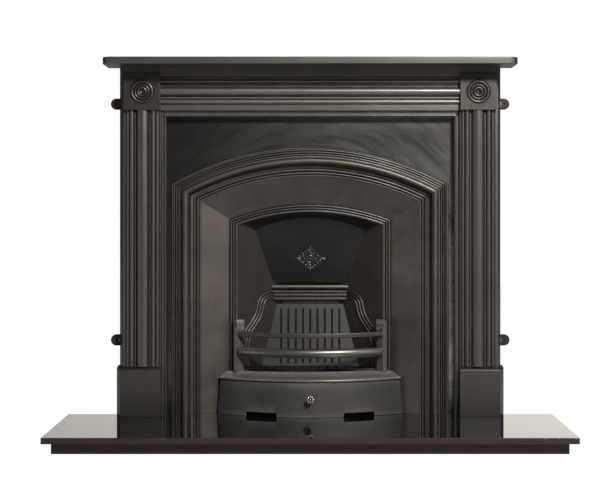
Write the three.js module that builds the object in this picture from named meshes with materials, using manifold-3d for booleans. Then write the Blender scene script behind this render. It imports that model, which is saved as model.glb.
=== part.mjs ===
// A cast iron fireplace: reeded mantel, arched insert, firebox, ash pit and stone hearth.
// Millimetres, +Z up, +X to the right, the room in front at -Y. The origin is on the floor,
// in the middle of the plane where the mantel stands against the wall.

import * as THREE from 'three';
import { mergeVertices } from 'three/addons/utils/BufferGeometryUtils.js';
import Module from 'manifold-3d';

const wasm = await Module();
wasm.setup();

// ---------------------------------------------------------------- driving dimensions

const GAP = 0.35;                       // clearance between pieces that touch

const HEARTH = { halfWidth: 762, depth: 457, thickness: 18, top: 50 };
const BACK_HEARTH = { halfWidth: 460, depth: 262 };
const RISER = { inset: 25, thickness: 15 };

const SHELF = { halfWidth: 635, depth: 150, bottom: 1138, top: 1160, cornerRadius: 28, arris: 2.5 };

const JAMB = { centre: 522, joint: 466.2, face: -50, core: -44, wall: 7, backX: 599, splay: 0.3 };
const SLIP = { edge: 449, face: -40, back: -12, top: 983, mitreTop: 1001 };
const PLINTH = { top: 205, shoulder: 196, face: -66, inner: 464.5, outer: 590, backX: 609 };
const BLOCK = { centreX: 522.5, centreZ: 1060, half: 56.5, face: -66 };
const LUG = { radius: 17.5, centreX: 609, heights: [284, 1025], thickness: 8, hole: 3.75 };

const INSERT = { half: 482.5, top: 1015, face: -8 };
const ARCH = { centreZ: 15, radius: 870, leg: 430, steps: 16 };
const SPLAY = { outer: 88, inner: 175, frontY: 0, backY: 44 };
const FRAME = { outer: 175.8, inner: 201, face: 38, back: 58 };

const CHAMBER = { sum: 267, cheek: 8 };  // the cheeks' faces lie where |x| + y = sum
const FLAP = { foot: 455, footY: 148.9, lean: -0.3275, thickness: 6, apex: 667, corner: 628 };
const PIVOT = { y: 156, z: 461, rod: 4, barrel: 7.5 };
const FIREBACK = { top: 388, topY: 166, bottom: 170, lean: 0.28, thickness: 12 };
const FLUTE = { count: 9, pitch: 23.6, width: 6.6, depth: 4, top: 371, bottom: 198 };
const CAP = { top: 449, bottom: 396.5, face: 146, back: 178 };
const GRATE = { bottom: 178, top: 190, front: 38, back: 106, slots: 11, pitch: 28, slotWidth: 12 };

const BOW = { centreY: 371 };            // the ledge and the ashpan cover are bowed about this line
const LEDGE = { nose: 461, half: 285, under: 160, top: 182 };
const COVER = { radius: 456, thickness: 7, half: 283, top: 158.5 };
const BARS = { radius: 405, centreY: 352, reach: 232, flatZ: 301, roundZ: 245, roundRadius: 15 };
const BRACKET = { inner: 211, outer: 240, front: 9, back: 33, cap: 346 };
const KNOB = { z: 109, radius: 11.5, reach: 25, stem: 4 };
const PAN = { half: 150, front: -44, back: 98, bottom: 50.7, top: 125, wall: 2.5 };

// ---------------------------------------------------------------- materials

function finish(color, roughness, metalness) {
  return new THREE.MeshStandardMaterial({ color, roughness, metalness });
}

const castIron = finish(0x3a3936, 0.45, 0.7);
const sootyIron = finish(0x272624, 0.75, 0.4);
const granite = finish(0x141414, 0.08, 0.0);
const graniteRiser = finish(0x2b1d17, 0.3, 0.0);
const bearerWood = finish(0x7d6040, 0.8, 0.0);
const steel = finish(0x8b8a86, 0.35, 1.0);
const sheetSteel = finish(0x2d2d2e, 0.5, 0.8);

// ---------------------------------------------------------------- shape tools

// A closed geometry as a solid, with its shared points merged and its faces turned outwards.
function toSolid(geometry) {
  const bare = geometry.clone();
  bare.deleteAttribute('normal');
  bare.deleteAttribute('uv');
  const merged = mergeVertices(bare, 1e-4);
  const points = new Float32Array(merged.attributes.position.array);
  const faces = [];
  const corner = merged.index.array;
  for (let i = 0; i < corner.length; i += 3) {
    const [a, b, c] = [corner[i], corner[i + 1], corner[i + 2]];
    if (a !== b && b !== c && c !== a) faces.push(a, b, c);
  }
  if (signedVolume(points, faces) < 0) faces.reverse();
  const mesh = { numProp: 3, vertProperties: points, triVerts: new Uint32Array(faces) };
  return new wasm.Manifold(new wasm.Mesh(mesh));
}

function signedVolume(points, faces) {
  let volume = 0;
  const at = index => new THREE.Vector3().fromArray(points, index * 3);
  for (let i = 0; i < faces.length; i += 3) {
    volume += at(faces[i]).dot(at(faces[i + 1]).cross(at(faces[i + 2]))) / 6;
  }
  return volume;
}

function toGeometry(solid) {
  const mesh = solid.getMesh();
  const geometry = new THREE.BufferGeometry();
  geometry.setAttribute('position', new THREE.BufferAttribute(new Float32Array(mesh.vertProperties), 3));
  geometry.setIndex(new THREE.BufferAttribute(new Uint32Array(mesh.triVerts), 1));
  const flat = geometry.toNonIndexed();
  flat.computeVertexNormals();
  return flat;
}

const join = (first, ...rest) => rest.reduce((whole, piece) => whole.add(piece), first);
const cut = (first, ...rest) => rest.reduce((whole, piece) => whole.subtract(piece), first);

function outlineShape(outline) {
  return new THREE.Shape(outline.map(([a, b]) => new THREE.Vector2(a, b)));
}

// An outline pushed along an axis: (y, z) pairs along x, (x, z) pairs along y, (x, y) pairs along z.
function prism(axis, outline, from, to) {
  const options = { depth: to - from, bevelEnabled: false };
  const geometry = new THREE.ExtrudeGeometry(outlineShape(outline), options);
  const turn = new THREE.Matrix4();
  if (axis === 'x') turn.set(0, 0, 1, from, 1, 0, 0, 0, 0, 1, 0, 0, 0, 0, 0, 1);
  if (axis === 'y') turn.set(1, 0, 0, 0, 0, 0, -1, to, 0, 1, 0, 0, 0, 0, 0, 1);
  if (axis === 'z') turn.makeTranslation(0, 0, from);
  return toSolid(geometry.applyMatrix4(turn));
}

function block(x0, x1, y0, y1, z0, z1) {
  const geometry = new THREE.BoxGeometry(x1 - x0, y1 - y0, z1 - z0);
  return toSolid(geometry.translate((x0 + x1) / 2, (y0 + y1) / 2, (z0 + z1) / 2));
}

const AXES = { x: [1, 0, 0], '-x': [-1, 0, 0], y: [0, 1, 0], '-y': [0, -1, 0], z: [0, 0, 1] };

// A profile of [radius, height] points turned about an axis that starts at `foot` and runs along `axis`.
function turned(profile, sides, axis, foot) {
  const geometry = new THREE.LatheGeometry(profile.map(([r, h]) => new THREE.Vector2(r, h)), sides);
  const up = new THREE.Vector3(0, 1, 0);
  const turn = new THREE.Quaternion().setFromUnitVectors(up, new THREE.Vector3(...AXES[axis]));
  return toSolid(geometry.applyQuaternion(turn).translate(...foot));
}

const rod = (radius, length, axis, foot, sides = 12) =>
  turned([[0, 0], [radius, 0], [radius, length], [0, length]], sides, axis, foot);

const screwHole = (shank, length, axis, foot) => rod(shank + 1.2 * GAP, length, axis, foot, 8);

// Points along a raised reed from low to high x; the outline then runs back along the base.
function reed(centre, halfWidth, base, height, steps = 6) {
  const points = [];
  for (let i = 0; i <= steps; i++) {
    const angle = Math.PI * (1 - i / steps);
    points.push([centre + halfWidth * Math.cos(angle), base - height * Math.sin(angle)]);
  }
  return points;
}

// A closed body through rings of the same number of points, closed at both ends.
function loft(rings, capOutline) {
  const count = rings[0].length;
  const faces = [];
  for (let r = 0; r < rings.length - 1; r++) {
    for (let i = 0; i < count; i++) {
      const next = (i + 1) % count;
      const [a, b] = [r * count + i, r * count + next];
      faces.push(a, b, b + count, a, b + count, a + count);
    }
  }
  const cap = outlineShape(capOutline).getPoints();
  const clockwise = THREE.ShapeUtils.isClockWise(cap);
  const last = (rings.length - 1) * count;
  for (const [a, b, c] of THREE.ShapeUtils.triangulateShape(cap, [])) {
    faces.push(...(clockwise ? [a, b, c] : [a, c, b]));
    faces.push(...(clockwise ? [last + a, last + c, last + b] : [last + a, last + b, last + c]));
  }
  if (clockwise) faces.reverse();
  const geometry = new THREE.BufferGeometry();
  geometry.setAttribute('position', new THREE.Float32BufferAttribute(rings.flat(2), 3));
  geometry.setIndex(faces);
  return toSolid(geometry);
}

const mirrored = solid => solid.mirror([1, 0, 0]);

// ---------------------------------------------------------------- the arch of the insert's mouldings

// The x and z of the moulding line set in by `inset`, at `share` of the arc from -1 (left) to 1 (right).
function onArch(inset, share) {
  const radius = ARCH.radius - inset;
  const angle = Math.asin((ARCH.leg - inset) / radius) * share;
  return [radius * Math.sin(angle), ARCH.centreZ + radius * Math.cos(angle)];
}

// A profile of [inset, y] points carried up one leg, round the arch and down the other leg.
function archSweep(profile, foot) {
  const rings = [profile.map(([inset, y]) => [inset - ARCH.leg, y, foot])];
  for (let i = 0; i <= ARCH.steps; i++) {
    const share = -1 + 2 * i / ARCH.steps;
    rings.push(profile.map(([inset, y]) => {
      const [x, z] = onArch(inset, share);
      return [x, y, z];
    }));
  }
  rings.push(profile.map(([inset, y]) => [ARCH.leg - inset, y, foot]));
  return loft(rings, profile);
}

// ---------------------------------------------------------------- hearth

const bearerTop = HEARTH.top - HEARTH.thickness - GAP;

function hearthSlab() {
  const { halfWidth, depth, thickness, top } = HEARTH;
  return block(-halfWidth, halfWidth, -depth, -GAP / 2, top - thickness, top);
}

function backHearthSlab() {
  const half = BACK_HEARTH.halfWidth;
  return block(-half, half, GAP / 2, BACK_HEARTH.depth, HEARTH.top - HEARTH.thickness, HEARTH.top);
}

function frontRiser() {
  const half = HEARTH.halfWidth - RISER.inset;
  const front = RISER.inset - HEARTH.depth;
  const back = front + RISER.thickness;
  const inner = half - RISER.thickness;
  return prism('z', [[-half, front], [half, front], [inner, back], [-inner, back]], 0, bearerTop);
}

// Its front end is mitred to meet the front strip.
function rightRiser() {
  const half = HEARTH.halfWidth - RISER.inset;
  const front = RISER.inset - HEARTH.depth;
  const inner = half - RISER.thickness;
  const mitre = GAP * Math.SQRT2;
  const innerFront = front + RISER.thickness + mitre;
  const outline = [[half, front + mitre], [half, -GAP], [inner, -GAP], [inner, innerFront]];
  return prism('z', outline, 0, bearerTop);
}

function middleBearer() {
  const half = HEARTH.halfWidth - RISER.inset - RISER.thickness - GAP;
  return block(-half, half, -30, 30, 0, bearerTop);
}

function backBearer() {
  const half = BACK_HEARTH.halfWidth - 20;
  return block(-half, half, 225, 255, 0, bearerTop);
}

// ---------------------------------------------------------------- mantel

const shelfScrewX = 530;
const shelfScrewY = -22;
const friezeBolt = { y: -27, z: 1070 };
const screwRadius = { shelf: 4, frieze: 4, block: 3.5 };
const plinthScrewZ = 128;

function mantelShelf() {
  const { halfWidth, depth, cornerRadius, arris, bottom, top } = SHELF;
  const half = halfWidth - arris;
  const front = -depth + arris;
  const round = cornerRadius - arris;
  const plan = new THREE.Shape();
  plan.moveTo(-half, -arris);
  plan.lineTo(-half, front + round);
  plan.absarc(-half + round, front + round, round, Math.PI, 1.5 * Math.PI);
  plan.absarc(half - round, front + round, round, 1.5 * Math.PI, 2 * Math.PI);
  plan.lineTo(half, -arris);
  const geometry = new THREE.ExtrudeGeometry(plan, {
    depth: top - bottom - 2 * arris,
    curveSegments: 6,
    bevelThickness: arris,
    bevelSize: arris,
    bevelSegments: 2,
  });
  const slab = toSolid(geometry.translate(0, 0, bottom + arris));
  const pocket = block(-430, 430, -58, -10, bottom - 1, top - 8);
  const holes = [-1, 1].map(side =>
    screwHole(screwRadius.shelf, 16, 'z', [side * shelfScrewX, shelfScrewY, bottom - 1]));
  return cut(slab, pocket, ...holes);
}

// The mouldings of the frieze from its lower edge up, as y and z.
function friezeFront() {
  const upright = (centre, half, base, height, steps) =>
    reed(centre, half, base, height, steps).map(([z, y]) => [y, z]);
  return [
    [-36, SLIP.top],
    ...upright(988, 3.5, -37, 5, 4),
    [-36, 993], [-36, 999], [-44, 1002], [-48, 1003],
    [-48, 1018], [-44, 1019.5],
    ...upright(1029.5, 8, -44, 8, 6),
    [-43, 1038.5], [-48, 1039.5], [-48, 1044.5], [-43, 1045.5],
    ...upright(1061, 14, -44, 16, 10),
    [-42, 1076.5], [-42, 1082], [-48, 1086],
    ...upright(1092, 4, -52, 10, 4),
    [-50, 1099], [-50, 1104], [-58, 1112], [-58, SHELF.bottom - GAP],
  ];
}

function frieze() {
  const end = JAMB.joint - GAP - 0.1;
  const roof = SHELF.bottom - GAP;
  const inside = [
    [0, roof], [0, roof - 8], [-48, roof - 8], [-43, 1100], [-35, 1088],
    [-36, 1050], [-38, 1012], [-29, 990], [-29, 994], [SLIP.back, 994], [SLIP.back, SLIP.top],
  ];
  const shell = prism('x', [...friezeFront(), ...inside], -end, end);
  const flange = side => {
    const plate = [[-40, 1006], [-8, 1006], [-8, roof - 4], [-40, roof - 4]];
    return prism('x', plate, side > 0 ? end - JAMB.wall : -end, side > 0 ? end : -end + JAMB.wall);
  };
  const holes = [-1, 1].map(side =>
    screwHole(screwRadius.frieze, 30, 'x', [side * end - 15, friezeBolt.y, friezeBolt.z]));
  const past = end + 5;
  const below = SLIP.top - 5;
  const pastTop = SLIP.top + past - SLIP.edge;
  const corner = [[SLIP.edge, SLIP.top], [past, pastTop], [past, below], [SLIP.edge, below]];
  const mitre = prism('y', corner, -60, 5);
  return cut(join(shell, flange(1), flange(-1)), ...holes, mitre, mirrored(mitre));
}

// The jamb's reeded face: a big reed in the middle, then a fillet, a smaller reed and a bead each way.
function jambFace() {
  const base = JAMB.face;
  const innerEdge = JAMB.joint - JAMB.centre;
  const outerEdge = 61;
  const side = [
    [-54, base], [-52.5, base + 3], [-51, base],
    ...reed(-46, 4, base, 4, 4),
    [-41.5, base + 3],
    ...reed(-33.5, 7.5, base + 1, 9, 6),
    [-25.5, base + 3], [-24.5, base], [-21, base], [-19.8, base + 4],
  ];
  const otherSide = side.map(([x, y]) => [-x, y]).reverse();
  const face = [...side, ...reed(0, 18.5, base + 1, 14, 10), ...otherSide];
  return [[innerEdge, base], ...face, [outerEdge, base]].map(([x, y]) => [x + JAMB.centre, y]);
}

function rightJamb() {
  const { joint, core, wall, backX, splay, face } = JAMB;
  const foot = HEARTH.top + GAP;
  const roof = SHELF.bottom - GAP;
  const outerFront = backX + splay * core;
  const shell = prism('z', [
    [backX, 0], [outerFront, core], [joint, core], [joint, SLIP.back], [joint + wall, SLIP.back],
    [joint + wall, core + wall], [outerFront - wall, core + wall], [backX - wall - 0.5, 0],
  ], foot, roof);
  const roofPlan = [[joint, core], [outerFront, core], [backX, 0], [joint + wall, 0], [joint, SLIP.back]];
  const roofPlate = prism('z', roofPlan, roof - 8, roof);
  const reededFace = prism('z', [...jambFace(), [JAMB.centre + 61, core + 1], [joint, core + 1]],
    PLINTH.top + GAP, BLOCK.centreZ - BLOCK.half - GAP);
  const bed = block(joint, outerFront + 3, face - 6, core + 1, BLOCK.centreZ + BLOCK.half + GAP, roof);
  const slip = prism('z', [
    [joint + 1, core + 1], [joint + 1, SLIP.back], [SLIP.edge, SLIP.back],
    [SLIP.edge, SLIP.face + 3], [SLIP.edge + 0.8, SLIP.face - 1], [SLIP.edge + 3, SLIP.face - 2.5],
    [SLIP.edge + 5.5, SLIP.face - 1.5], [SLIP.edge + 6.5, SLIP.face + 3], [SLIP.edge + 13, SLIP.face + 3],
    [joint - 2, SLIP.face - 1], [joint - 1, core + 1],
  ], foot, SLIP.mitreTop);
  const mitreEnd = joint - GAP;
  const mitreZ = x => SLIP.top + x - SLIP.edge - 2 * GAP;
  const above = SLIP.mitreTop + 9;
  const mitreStart = SLIP.edge - 2;
  const corner = [
    [mitreStart, mitreZ(mitreStart)], [mitreEnd, mitreZ(mitreEnd)], [mitreEnd, above], [mitreStart, above],
  ];
  const mitre = prism('y', corner, -60, 0);
  const lugs = LUG.heights.map(z => join(
    rod(LUG.radius, LUG.thickness, 'y', [LUG.centreX, -LUG.thickness, z], 16),
    block(backX - 10, LUG.centreX, -LUG.thickness, 0, z - LUG.radius, z + LUG.radius),
  ));
  const lugHoles = LUG.heights.map(z => rod(LUG.hole, 20, 'y', [LUG.centreX, -15, z], 12));
  const holes = [
    screwHole(screwRadius.shelf, 20, 'z', [shelfScrewX, shelfScrewY, roof - 12]),
    screwHole(screwRadius.frieze, 30, 'x', [joint - 5, friezeBolt.y, friezeBolt.z]),
    screwHole(screwRadius.block, 30, '-y', [BLOCK.centreX, core + wall + 1, BLOCK.centreZ]),
    screwHole(screwRadius.block, 30, '-y', [BLOCK.centreX, core + wall + 1, plinthScrewZ]),
  ];
  const casting = join(shell, roofPlate, reededFace, bed, cut(slip, mitre), ...lugs);
  return cut(casting, ...lugHoles, ...holes);
}

function rightPlinth() {
  const { top, shoulder, face, inner, outer, backX } = PLINTH;
  const foot = HEARTH.top + GAP;
  const back = JAMB.core - GAP;
  const jambFront = JAMB.backX + JAMB.splay * back + GAP;
  const plan = prism('z', [[backX, 0], [outer, face], [inner, face], [inner, back], [jambFront, back],
    [JAMB.backX + GAP, 0]], foot, top);
  const below = foot - 1;
  const frontSlope = [[face, below], [face, shoulder], [JAMB.face, top], [1, top], [1, below]];
  const sideSlope = [
    [400, below], [400, top + 1], [outer - 7, top + 1], [outer + 22, shoulder], [outer + 22, below],
  ];
  const weathered = prism('x', frontSlope, 400, 640).intersect(prism('y', sideSlope, -80, 1));
  const hole = screwHole(screwRadius.block, 15, '-y', [BLOCK.centreX, back + 1, plinthScrewZ]);
  return cut(plan.intersect(weathered), hole);
}

// The bullseye: a sunk round panel with a bead, a ridge, a smaller bead, a cup and a button.
function rightCornerBlock() {
  const { centreX, centreZ, half, face } = BLOCK;
  const back = JAMB.core - GAP;
  const body = block(centreX - half, centreX + half, face, back, centreZ - half, centreZ + half);
  const panel = rod(36.5, 8, 'y', [centreX, face - 1, centreZ], 28);
  const profile = [
    [0, -2], [36.5, -2], [36.5, 0.5], [35.5, 1], [33.5, 5], [30.5, 6.5], [27.5, 5], [25.5, 1],
    [23.2, 1.2], [21.5, 3.2], [19.8, 1.2], [17.5, 1], [16, 5.4], [13.5, 6.6], [10.5, 4], [7, 1.5],
    [5.5, 3], [3, 4.4], [0, 4.8],
  ];
  const bullseye = turned(profile, 28, '-y', [centreX, face + 6.5, centreZ]);
  const hole = screwHole(screwRadius.block, 12, '-y', [centreX, back + 1, centreZ]);
  return cut(join(cut(body, panel), bullseye), hole);
}

// ---------------------------------------------------------------- insert

// The arch moulding from its outer edge in: three beads, a big roll, a hollow, two beads and a flat.
function archMoulding() {
  return [
    [-6, INSERT.face], [0.5, INSERT.face], [1.5, -6],
    ...reed(5, 3.2, -9, 4.5, 4), [9, -8],
    ...reed(13.5, 4, -12, 5.5, 4), [18.5, -11],
    ...reed(22.5, 3.2, -15, 4, 4), [26.5, -14],
    ...reed(38, 11, -18, 16, 8), [50.5, -13], [55, -7], [57, -6.5],
    ...reed(61, 3.4, -8, 4.5, 4), [66, -4.5],
    ...reed(70, 3.2, -6, 4, 4), [74.5, -2], [76, -4], [86, -4], [SPLAY.outer, SPLAY.frontY],
  ];
}

const frameScrews = [200, 560];
const frameScrewX = 262;
const cheekBolts = [260, 540];
const cheekBoltX = 241;
const ledgeBolt = { x: 272, z: 165 };
const throatScrewShare = 0.5;
const smallScrew = 3;

function splayFrontY(inset) {
  return SPLAY.frontY + (inset - SPLAY.outer) * (SPLAY.backY - SPLAY.frontY) / (SPLAY.inner - SPLAY.outer);
}

function insertSurround() {
  const foot = HEARTH.top + GAP;
  const profile = [
    ...archMoulding(), [SPLAY.inner, SPLAY.backY],
    [SPLAY.inner, SPLAY.backY + 7.5], [SPLAY.outer, 8], [56, 0], [48, -12], [43, -24], [33, -24], [28, -14],
    [20, 0], [-6, 0],
  ];
  const plate = prism('y', [[-INSERT.half, foot], [INSERT.half, foot], [INSERT.half, INSERT.top],
    [-INSERT.half, INSERT.top]], INSERT.face, 0);
  const archway = archSweep([[-1, -20], [-1, 20], [400, 20], [400, -20]], foot - 20);
  const leftOver = block(-60, 60, -20, 20, foot - 20, 520);
  const casting = join(cut(plate, archway, leftOver), archSweep(profile, foot));
  const holes = [-1, 1].flatMap(side => [
    ...frameScrews.map(z => screwHole(smallScrew, 12, '-y', [side * frameScrewX, 55, z])),
    screwHole(smallScrew, 40, '-y', [side * ledgeBolt.x, 60, ledgeBolt.z]),
  ]);
  return cut(casting, ...holes);
}

// The beaded frame round the fire opening, with a flange behind the splay.
function innerFrame() {
  const { outer, inner, face, back } = FRAME;
  const flange = 160;
  const flangeY = SPLAY.backY + 8.3;
  const profile = [
    [flange, flangeY], [outer, flangeY], [outer, face + 3],
    ...reed(outer + 3.6, 3.2, face, 3, 4), [outer + 7.6, face + 4],
    ...reed(outer + 11.4, 3, face + 1, 3.5, 4), [outer + 15.4, face + 5],
    ...reed(outer + 20.6, 4.4, face + 2, 3, 4), [inner, face + 3],
    [inner, back], [flange, back],
  ];
  const holes = [-1, 1].flatMap(side => [
    ...frameScrews.map(z => screwHole(smallScrew, 12, '-y', [side * frameScrewX, back + 1, z])),
    ...cheekBolts.map(z => screwHole(smallScrew, 12, '-y', [side * cheekBoltX, back + 1, z])),
    screwHole(smallScrew, 12, '-y', throatScrewFoot(side, back + 1)),
  ]);
  return cut(archSweep(profile, HEARTH.top + GAP), ...holes);
}

function throatScrewFoot(side, y) {
  const [x, z] = onArch(FRAME.inner - 14, side * throatScrewShare);
  return [x, y, z];
}

const flapY = z => FLAP.footY + FLAP.lean * (z - FLAP.foot);
const flapRest = 1.5;                    // how far the closed flap stands off what it closes on

// The x and z of the flap's visible top edge at a share of its arc.
function flapTop(share, grow = 0) {
  const half = CHAMBER.sum - flapY(FLAP.corner);
  const rise = FLAP.apex - FLAP.corner;
  const radius = (half * half + rise * rise) / (2 * rise) + grow;
  const angle = Math.asin((half + grow) / radius) * share;
  return [radius * Math.sin(angle), FLAP.apex + grow - radius * (1 - Math.cos(angle))];
}

// Sweeps a section along the soffit. It is given as shares of the way back and of the thickness up.
function alongSoffit(section, reach) {
  const rings = [];
  const front = FRAME.back + GAP;
  const thickness = 6;
  const steps = 14;
  for (let i = 0; i <= steps; i++) {
    const share = reach * (-1 + 2 * i / steps);
    const [frontX, frontZ] = onArch(FRAME.inner + 0.5, share);
    const [backX, backZ] = flapTop(share * 1.03);
    const backY = flapY(backZ + thickness) - flapRest;
    rings.push(section.map(([along, up]) => [
      frontX + along * (backX - frontX),
      front + along * (backY - front),
      frontZ + along * (backZ - frontZ) + up * thickness,
    ]));
  }
  return loft(rings, section.map(([along, up]) => [up, along]));
}

// The soffit between the frame and the flap's top edge, with a flange screwed to the frame.
function throatPlate() {
  const plate = alongSoffit([[0, 0], [1, 0], [1, 1], [0.2, 1], [0.2, 4], [0, 4]], 1);
  return cut(plate, ...[-1, 1].map(side => screwHole(smallScrew, 30, '-y', throatScrewFoot(side, 78))));
}

// The space the cheeks keep clear of: the soffit with a gap under it, and the frame's arch before it.
function overCheeks() {
  const soffit = alongSoffit([[-0.01, -0.14], [1.4, -0.14], [1.4, 12], [-0.01, 12]], 1.2);
  const arch = [];
  for (let i = 0; i <= ARCH.steps; i++) arch.push(onArch(FRAME.inner + GAP, -1 + 2 * i / ARCH.steps));
  const foot = arch[0][1];
  return join(soffit, prism('y', [[-300, foot], ...arch, [300, foot], [300, 800], [-300, 800]],
    0, FRAME.back + GAP));
}

// ---------------------------------------------------------------- firebox

// The curve of the reeded edge on a cheek's face, from the cap's end down to the front, as y and z.
const CHEEK_CURVE = [[150, 407], [135, 407], [125, 401], [120, 393], [117, 381], [113, 362], [109, 350],
  [103, 338], [93, 322], [84, 309], [80, 302], [75, 281], [71, 263], [69, 238], [68, 184]];

const CHEEK_REED = { radius: 3.6, pitch: 9.3, count: 3 };

function cheekReed(offset) {
  const onCheek = CHEEK_CURVE.map(([y, z]) => new THREE.Vector3(CHAMBER.sum - y, y, z));
  const spine = new THREE.CatmullRomCurve3(onCheek);
  const normal = new THREE.Vector3(1, 1, 0).normalize();
  const steps = 18;
  const points = [];
  for (let i = 0; i <= steps; i++) {
    const along = i / steps;
    const inward = new THREE.Vector3().crossVectors(spine.getTangentAt(along), normal).normalize();
    points.push(spine.getPointAt(along).addScaledVector(inward, -offset));
  }
  const section = new THREE.Shape();
  section.absellipse(0, 0, CHEEK_REED.radius, CHEEK_REED.radius, 0, 2 * Math.PI);
  return toSolid(new THREE.ExtrudeGeometry(section, {
    steps: 20,
    curveSegments: 4,
    extrudePath: new THREE.CatmullRomCurve3(points),
    bevelEnabled: false,
  }));
}

// A plate at 45 degrees beside the fire. Its back edge is cut to the flap and its top to the soffit.
function rightCheek() {
  const { sum, cheek } = CHAMBER;
  const out = cheek * Math.SQRT2;
  const frontX = ARCH.leg - FRAME.inner - GAP;
  const frontY = FRAME.back + GAP;
  const rear = 176;
  const wall = prism('z', [
    [frontX, sum - frontX], [sum - rear, rear], [sum + out - rear, rear],
    [sum + out - frontY - 1, frontY + 1], [frontX, frontY + 1],
  ], HEARTH.top + GAP, 700);
  const slopeFoot = PIVOT.z - PIVOT.barrel - GAP;
  const behindFlap = [
    [flapY(700) - flapRest, 700], [flapY(slopeFoot) - flapRest, slopeFoot], [220, slopeFoot], [220, 700],
  ];
  const trimmed = cut(wall, prism('x', behindFlap, 0, 400), overCheeks());
  const reeds = [];
  for (let i = 0; i < CHEEK_REED.count; i++) reeds.push(cheekReed(i * CHEEK_REED.pitch));
  const railAt = (y, into) => [sum - y - into, y - into];
  const rail = prism('z', [railAt(50, -1), railAt(100, -1), railAt(100, 11), railAt(50, 11)],
    160, GRATE.bottom - GAP);
  const padPlan = [[sum - 61, 66], [252, 66], [252, frontY], [sum - 55, frontY]];
  const pads = cheekBolts.map(z => prism('z', padPlan, z - 15, z + 15));
  const lug = block(sum + out - 151, 143, 144, 170, slopeFoot - 14, PIVOT.z + 10);
  const holes = [
    ...cheekBolts.map(z => screwHole(smallScrew, 20, '-y', [cheekBoltX, 75, z])),
    rod(PIVOT.rod + 0.4, 60, 'x', [110, PIVOT.y, PIVOT.z], 16),
  ];
  return cut(join(trimmed, ...reeds, rail, ...pads, lug), ...holes);
}

// Everything between the two cheeks, with a gap to them.
function betweenCheeks(clear) {
  const edge = CHAMBER.sum - clear * Math.SQRT2;
  return prism('z', [[-(edge + 60), -60], [edge + 60, -60], [edge - 200, 200], [200 - edge, 200]], 0, 800);
}

function fireback() {
  const { top, topY, bottom, lean, thickness } = FIREBACK;
  const faceY = z => topY - lean * (top - z);
  const slab = prism('x', [[faceY(bottom), bottom], [faceY(top), top], [faceY(top) + thickness, top],
    [faceY(bottom) + thickness, bottom]], -200, 200);
  const flutes = [];
  for (let i = 0; i < FLUTE.count; i++) {
    const x = (i - (FLUTE.count - 1) / 2) * FLUTE.pitch;
    const half = FLUTE.width / 2;
    const outline = [];
    for (let s = 0; s <= 4; s++) {
      const angle = Math.PI * s / 4;
      outline.push([x + half * Math.cos(angle), FLUTE.top - half + half * Math.sin(angle)]);
    }
    for (let s = 0; s <= 4; s++) {
      const angle = Math.PI + Math.PI * s / 4;
      outline.push([x + half * Math.cos(angle), FLUTE.bottom + half + half * Math.sin(angle)]);
    }
    flutes.push(prism('y', outline, 60, 200));
  }
  const deep = FLUTE.depth;
  const groove = prism('x', [[faceY(150) - 80, 150], [faceY(400) - 80, 400], [faceY(400) + deep, 400],
    [faceY(150) + deep, 150]], -200, 200);
  const grooves = flutes.map(flute => flute.intersect(groove));
  return cut(slab, ...grooves).intersect(betweenCheeks(GAP));
}

// The moulded rail over the fireback: a fillet and the three reeds that carry on from the cheeks.
// A web and a lip behind it close the gap under the flap's hinge.
function firebackCap() {
  const { top, bottom, face, back } = CAP;
  const lip = { front: 165.5, back: 171.5, top: 457 };
  const reeds = [401.5, 412.5, 423.5].flatMap(z => reed(z, 4.6, face, 4.2, 4).map(([h, y]) => [y, h]));
  const outline = [
    [face + 2, bottom], ...reeds, [face + 1, 430], [face + 3, 433], [face - 4, 435], [face - 7, 437.5],
    [face - 8, 446], [face - 5, top], [lip.front, top], [lip.front, lip.top], [lip.back, lip.top],
    [lip.back, top - 6], [face + 9, top - 6], [face + 9, 420], [back, 400],
    [back, FIREBACK.top + GAP], [FIREBACK.topY + 2, FIREBACK.top + GAP], [FIREBACK.topY + 2, bottom],
  ];
  return prism('x', outline, -150, 150).intersect(betweenCheeks(GAP + 3.7));
}

function damperFlap() {
  const cover = 8;
  const half = z => CHAMBER.sum - flapY(z) + cover;
  const outline = [[half(FLAP.foot), FLAP.foot]];
  for (let i = 0; i <= 12; i++) outline.push(flapTop(1 - i / 6, cover));
  outline.push([-half(FLAP.foot), FLAP.foot]);
  const upright = prism('y', outline, 0, 300);
  const leaning = prism('x', [[flapY(400), 400], [flapY(700), 700], [flapY(700) + FLAP.thickness, 700],
    [flapY(400) + FLAP.thickness, 400]], -300, 300);
  const barrel = rod(PIVOT.barrel, 2 * 124, 'x', [-124, PIVOT.y, PIVOT.z], 16);
  const bore = rod(PIVOT.rod + 0.45, 300, 'x', [-150, PIVOT.y, PIVOT.z], 16);
  const clearOfLug = block(125, 150, 140, 175, 440, 472);
  return cut(join(upright.intersect(leaning), barrel), bore, clearOfLug, mirrored(clearOfLug));
}

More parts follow.
